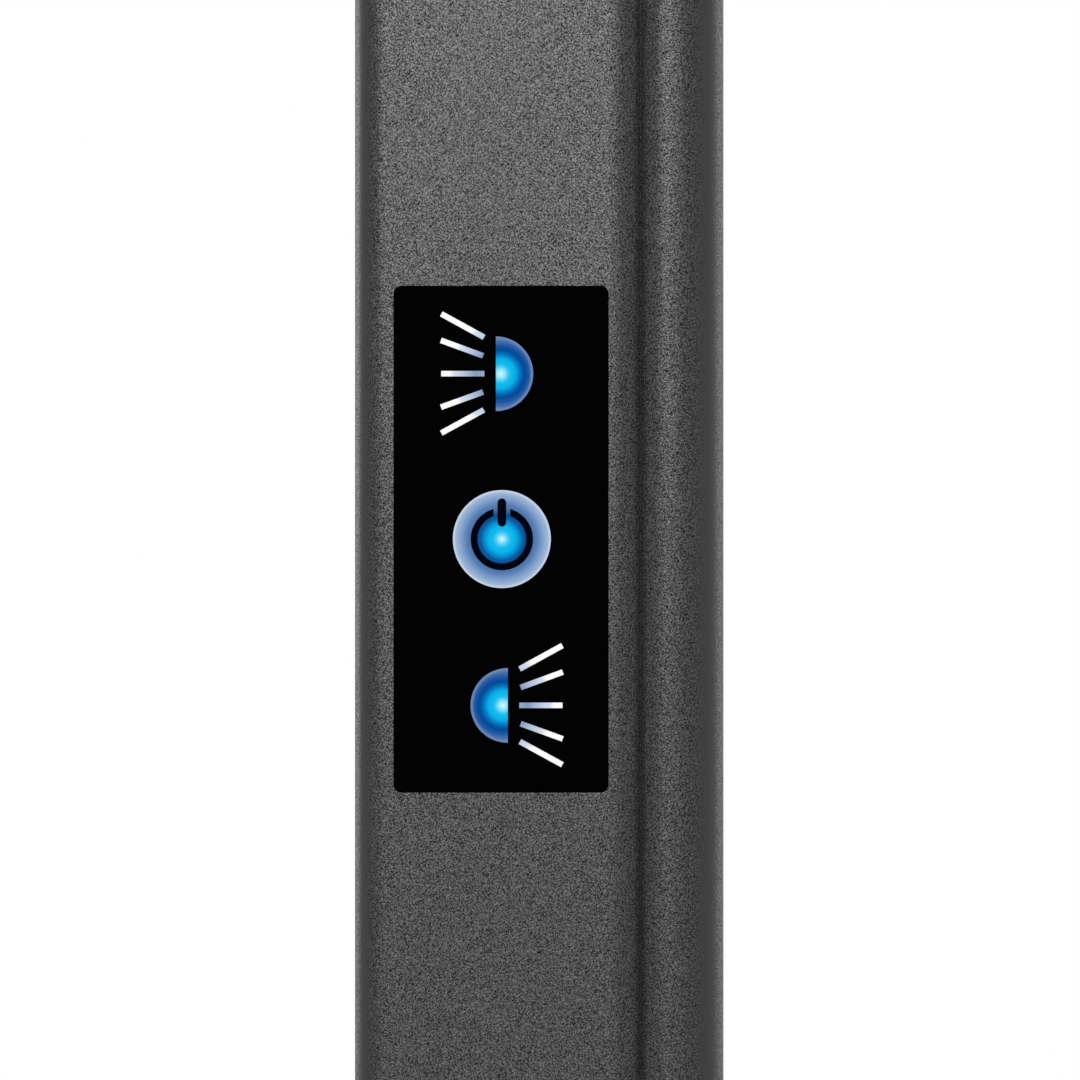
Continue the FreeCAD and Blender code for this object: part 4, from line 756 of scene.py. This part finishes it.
class LAMP_OT_column(bpy.types.Operator):
    """Finish the column and what it holds"""

    bl_idname = "lamp.column"
    bl_label = "Column"

    def execute(self, context):
        # The column's coat carries painted shade along the root of its groove
        coat("column", finish="column_coat_and_groove_shade")
        coat("rear_screws", "driver_bracket", "led_driver", "column_leads")
        coat("inlet_box", "inlet_pins")
        return {"FINISHED"}


class LAMP_OT_touch_panel(bpy.types.Operator):
    """Finish the touch panel's plate and the pieces behind it"""

    bl_idname = "lamp.touch_panel"
    bl_label = "Touch panel"

    def execute(self, context):
        coat("touch_panel", "light_guide", "touch_board", "panel_tray")
        return {"FINISHED"}


class LAMP_OT_bracket(bpy.types.Operator):
    """Finish the bracket on top of the column"""

    bl_idname = "lamp.bracket"
    bl_label = "Bracket"

    def execute(self, context):
        coat("lower_bracket", "bracket_screws", "pivot_pins")
        coat("upper_bracket", "pivot_nuts", "top_cover")
        return {"FINISHED"}


class LAMP_OT_arms(bpy.types.Operator):
    """Finish both arms and their swivels"""

    bl_idname = "lamp.arms"
    bl_label = "Arms"

    def execute(self, context):
        coat(*both("arm_eye", "eye_bushes", "arm_tube", "arm_tip", "arm_lead"))
        coat(*both("swivel", "swivel_grub"))
        return {"FINISHED"}


class LAMP_OT_heads(bpy.types.Operator):
    """Finish both heads"""

    bl_idname = "lamp.heads"
    bl_label = "Heads"

    def execute(self, context):
        coat(*both("head_fork", "tilt_washers", "tilt_bolt", "tilt_nut", "head_dome"))
        coat(*both("head_screws", "heat_sink", "led_board", "reflector", "diffuser", "trim_ring"))
        return {"FINISHED"}


# Stage

# How far the floor lies below the feet
FLOOR_DOWN = 0.0002
# Distances from the lamp between which the floor fades into the background
FLOOR_FADE = (0.9, 2.6)
# How far the camera stands right of the column's middle and below the panel's
CAMERA_RIGHT = 0.00007
CAMERA_DOWN = 0.0001
# Each soft lamp's name, place, aim, width, height and power in watts
LIGHTS = [
    ("front_light", (-0.12, -1.9, 1.70), (0.0, 0.0, 1.05), 1.5, 0.66, 33.0),
    ("left_light", (-2.2, 1.7, 1.8), (0.0, 0.0, 0.9), 1.2, 2.2, 24.0),
    ("right_light", (2.2, 1.7, 1.8), (0.0, 0.0, 0.9), 1.2, 2.2, 12.0),
    ("back_light", (0.4, 2.8, 2.4), (0.0, 0.0, 0.9), 1.8, 1.8, 40.0),
]


class LAMP_OT_stage(bpy.types.Operator):
    """Make the floor, the lights and the camera"""

    bl_idname = "lamp.stage"
    bl_label = "Stage"

    def execute(self, context):
        scene = context.scene
        self.floor(scene)
        self.surroundings(scene)
        self.lights(scene)
        self.camera(scene)
        scene.view_settings.view_transform = "Standard"
        return {"FINISHED"}

    def floor(self, scene):
        """A round pale floor that fades into the background."""
        stage = scene.lamp_stage
        work = bmesh.new()
        bmesh.ops.create_circle(work, cap_ends=True, segments=128, radius=stage.floor_radius)
        mesh = bpy.data.meshes.new("floor")
        work.to_mesh(mesh)
        work.free()
        floor = bpy.data.objects.new("floor", mesh)
        floor.location.z = -FLOOR_DOWN
        scene.collection.objects.link(floor)
        finish = Finish("floor", stage.floor_color, roughness=0.9, Specular_IOR_Level=0.1)
        far = finish.vector("LENGTH", finish.place()).step(*FLOOR_FADE)
        white = finish.node("ShaderNodeEmission", {}, {"Color": (1, 1, 1, 1), "Strength": 1.0})
        finish.blend(
            far * finish.background_share(), finish.surface.outputs[0], white.outputs[0])
        mesh.materials.append(finish.material)

    def surroundings(self, scene):
        """White behind the lamp and in its reflections, and a weaker even light on it."""
        scene.world = bpy.data.worlds.new("lamp_world")
        scene.world.use_nodes = True
        nodes = Nodes(scene.world.node_tree)
        nodes.tree.nodes.clear()
        even, white = [
            nodes.node("ShaderNodeBackground", {}, {"Color": (1, 1, 1, 1), "Strength": strength})
            for strength in (scene.lamp_stage.ambient, 1.0)]
        surface = nodes.mix_shaders(nodes.background_share(), even.outputs[0], white.outputs[0])
        nodes.node("ShaderNodeOutputWorld", {}, {"Surface": surface})

    def lights(self, scene):
        """Four soft lamps: one in front, one on each side and one behind."""
        for name, place, aim, width, height, power in LIGHTS:
            lamp = bpy.data.lights.new(name, "AREA")
            lamp.shape = "RECTANGLE"
            lamp.size = width
            lamp.size_y = height
            lamp.energy = power
            piece = bpy.data.objects.new(name, lamp)
            piece.location = place
            toward = Vector(aim) - Vector(place)
            piece.rotation_euler = toward.to_track_quat("-Z", "Y").to_euler()
            piece.visible_camera = False
            scene.collection.objects.link(piece)

    def camera(self, scene):
        """A level camera in front of the touch panel."""
        stage = scene.lamp_stage
        face, _, z = panel_place()
        data = bpy.data.cameras.new("camera")
        data.sensor_width = 36.0
        data.lens = stage.camera_distance * data.sensor_width / stage.frame_width
        data.clip_start = 0.01
        piece = bpy.data.objects.new("camera", data)
        piece.location = (CAMERA_RIGHT, face - stage.camera_distance, z - CAMERA_DOWN)
        piece.rotation_euler = (math.radians(90.0), 0.0, 0.0)
        scene.collection.objects.link(piece)
        scene.camera = piece


# Add-on

OPERATORS = (
    LAMP_OT_base,
    LAMP_OT_column,
    LAMP_OT_touch_panel,
    LAMP_OT_power_mark,
    LAMP_OT_head_marks,
    LAMP_OT_bracket,
    LAMP_OT_arms,
    LAMP_OT_heads,
    LAMP_OT_stage,
)
GROUPS = {
    "lamp_finishes": LampFinishes,
    "lamp_marks": LampMarks,
    "lamp_edges": LampEdges,
    "lamp_stage": LampStage,
}


class LAMP_PT_sidebar(bpy.types.Panel):
    """The lamp's pieces and sizes"""

    bl_idname = "LAMP_PT_sidebar"
    bl_label = "Floor lamp"
    bl_space_type = "VIEW_3D"
    bl_region_type = "UI"
    bl_category = "Floor lamp"

    def draw(self, context):
        for group, kind in GROUPS.items():
            box = self.layout.box()
            for name in kind.__annotations__:
                box.prop(getattr(context.scene, group), name)
        for operator in OPERATORS:
            self.layout.operator(operator.bl_idname)


def register():
    """Add the lamp's settings, operators and panel."""
    for kind in (*GROUPS.values(), *OPERATORS, LAMP_PT_sidebar):
        bpy.utils.register_class(kind)
    for name, kind in GROUPS.items():
        setattr(bpy.types.Scene, name, PointerProperty(type=kind))


def unregister():
    """Take them away again."""
    for name in GROUPS:
        delattr(bpy.types.Scene, name)
    for kind in (LAMP_PT_sidebar, *reversed(OPERATORS), *reversed(GROUPS.values())):
        bpy.utils.unregister_class(kind)


def clear_start():
    """Take away the cube, the light and the camera that a new file holds."""
    for piece in list(bpy.data.objects):
        if piece.name in ("Cube", "Light", "Camera"):
            bpy.data.objects.remove(piece)


def main():
    """Dress the lamp."""
    clear_start()
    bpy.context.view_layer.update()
    register()
    make_finishes()
    for operator in OPERATORS:
        group, name = operator.bl_idname.split(".")
        getattr(getattr(bpy.ops, group), name)()


if __name__ == "__main__":
    main()
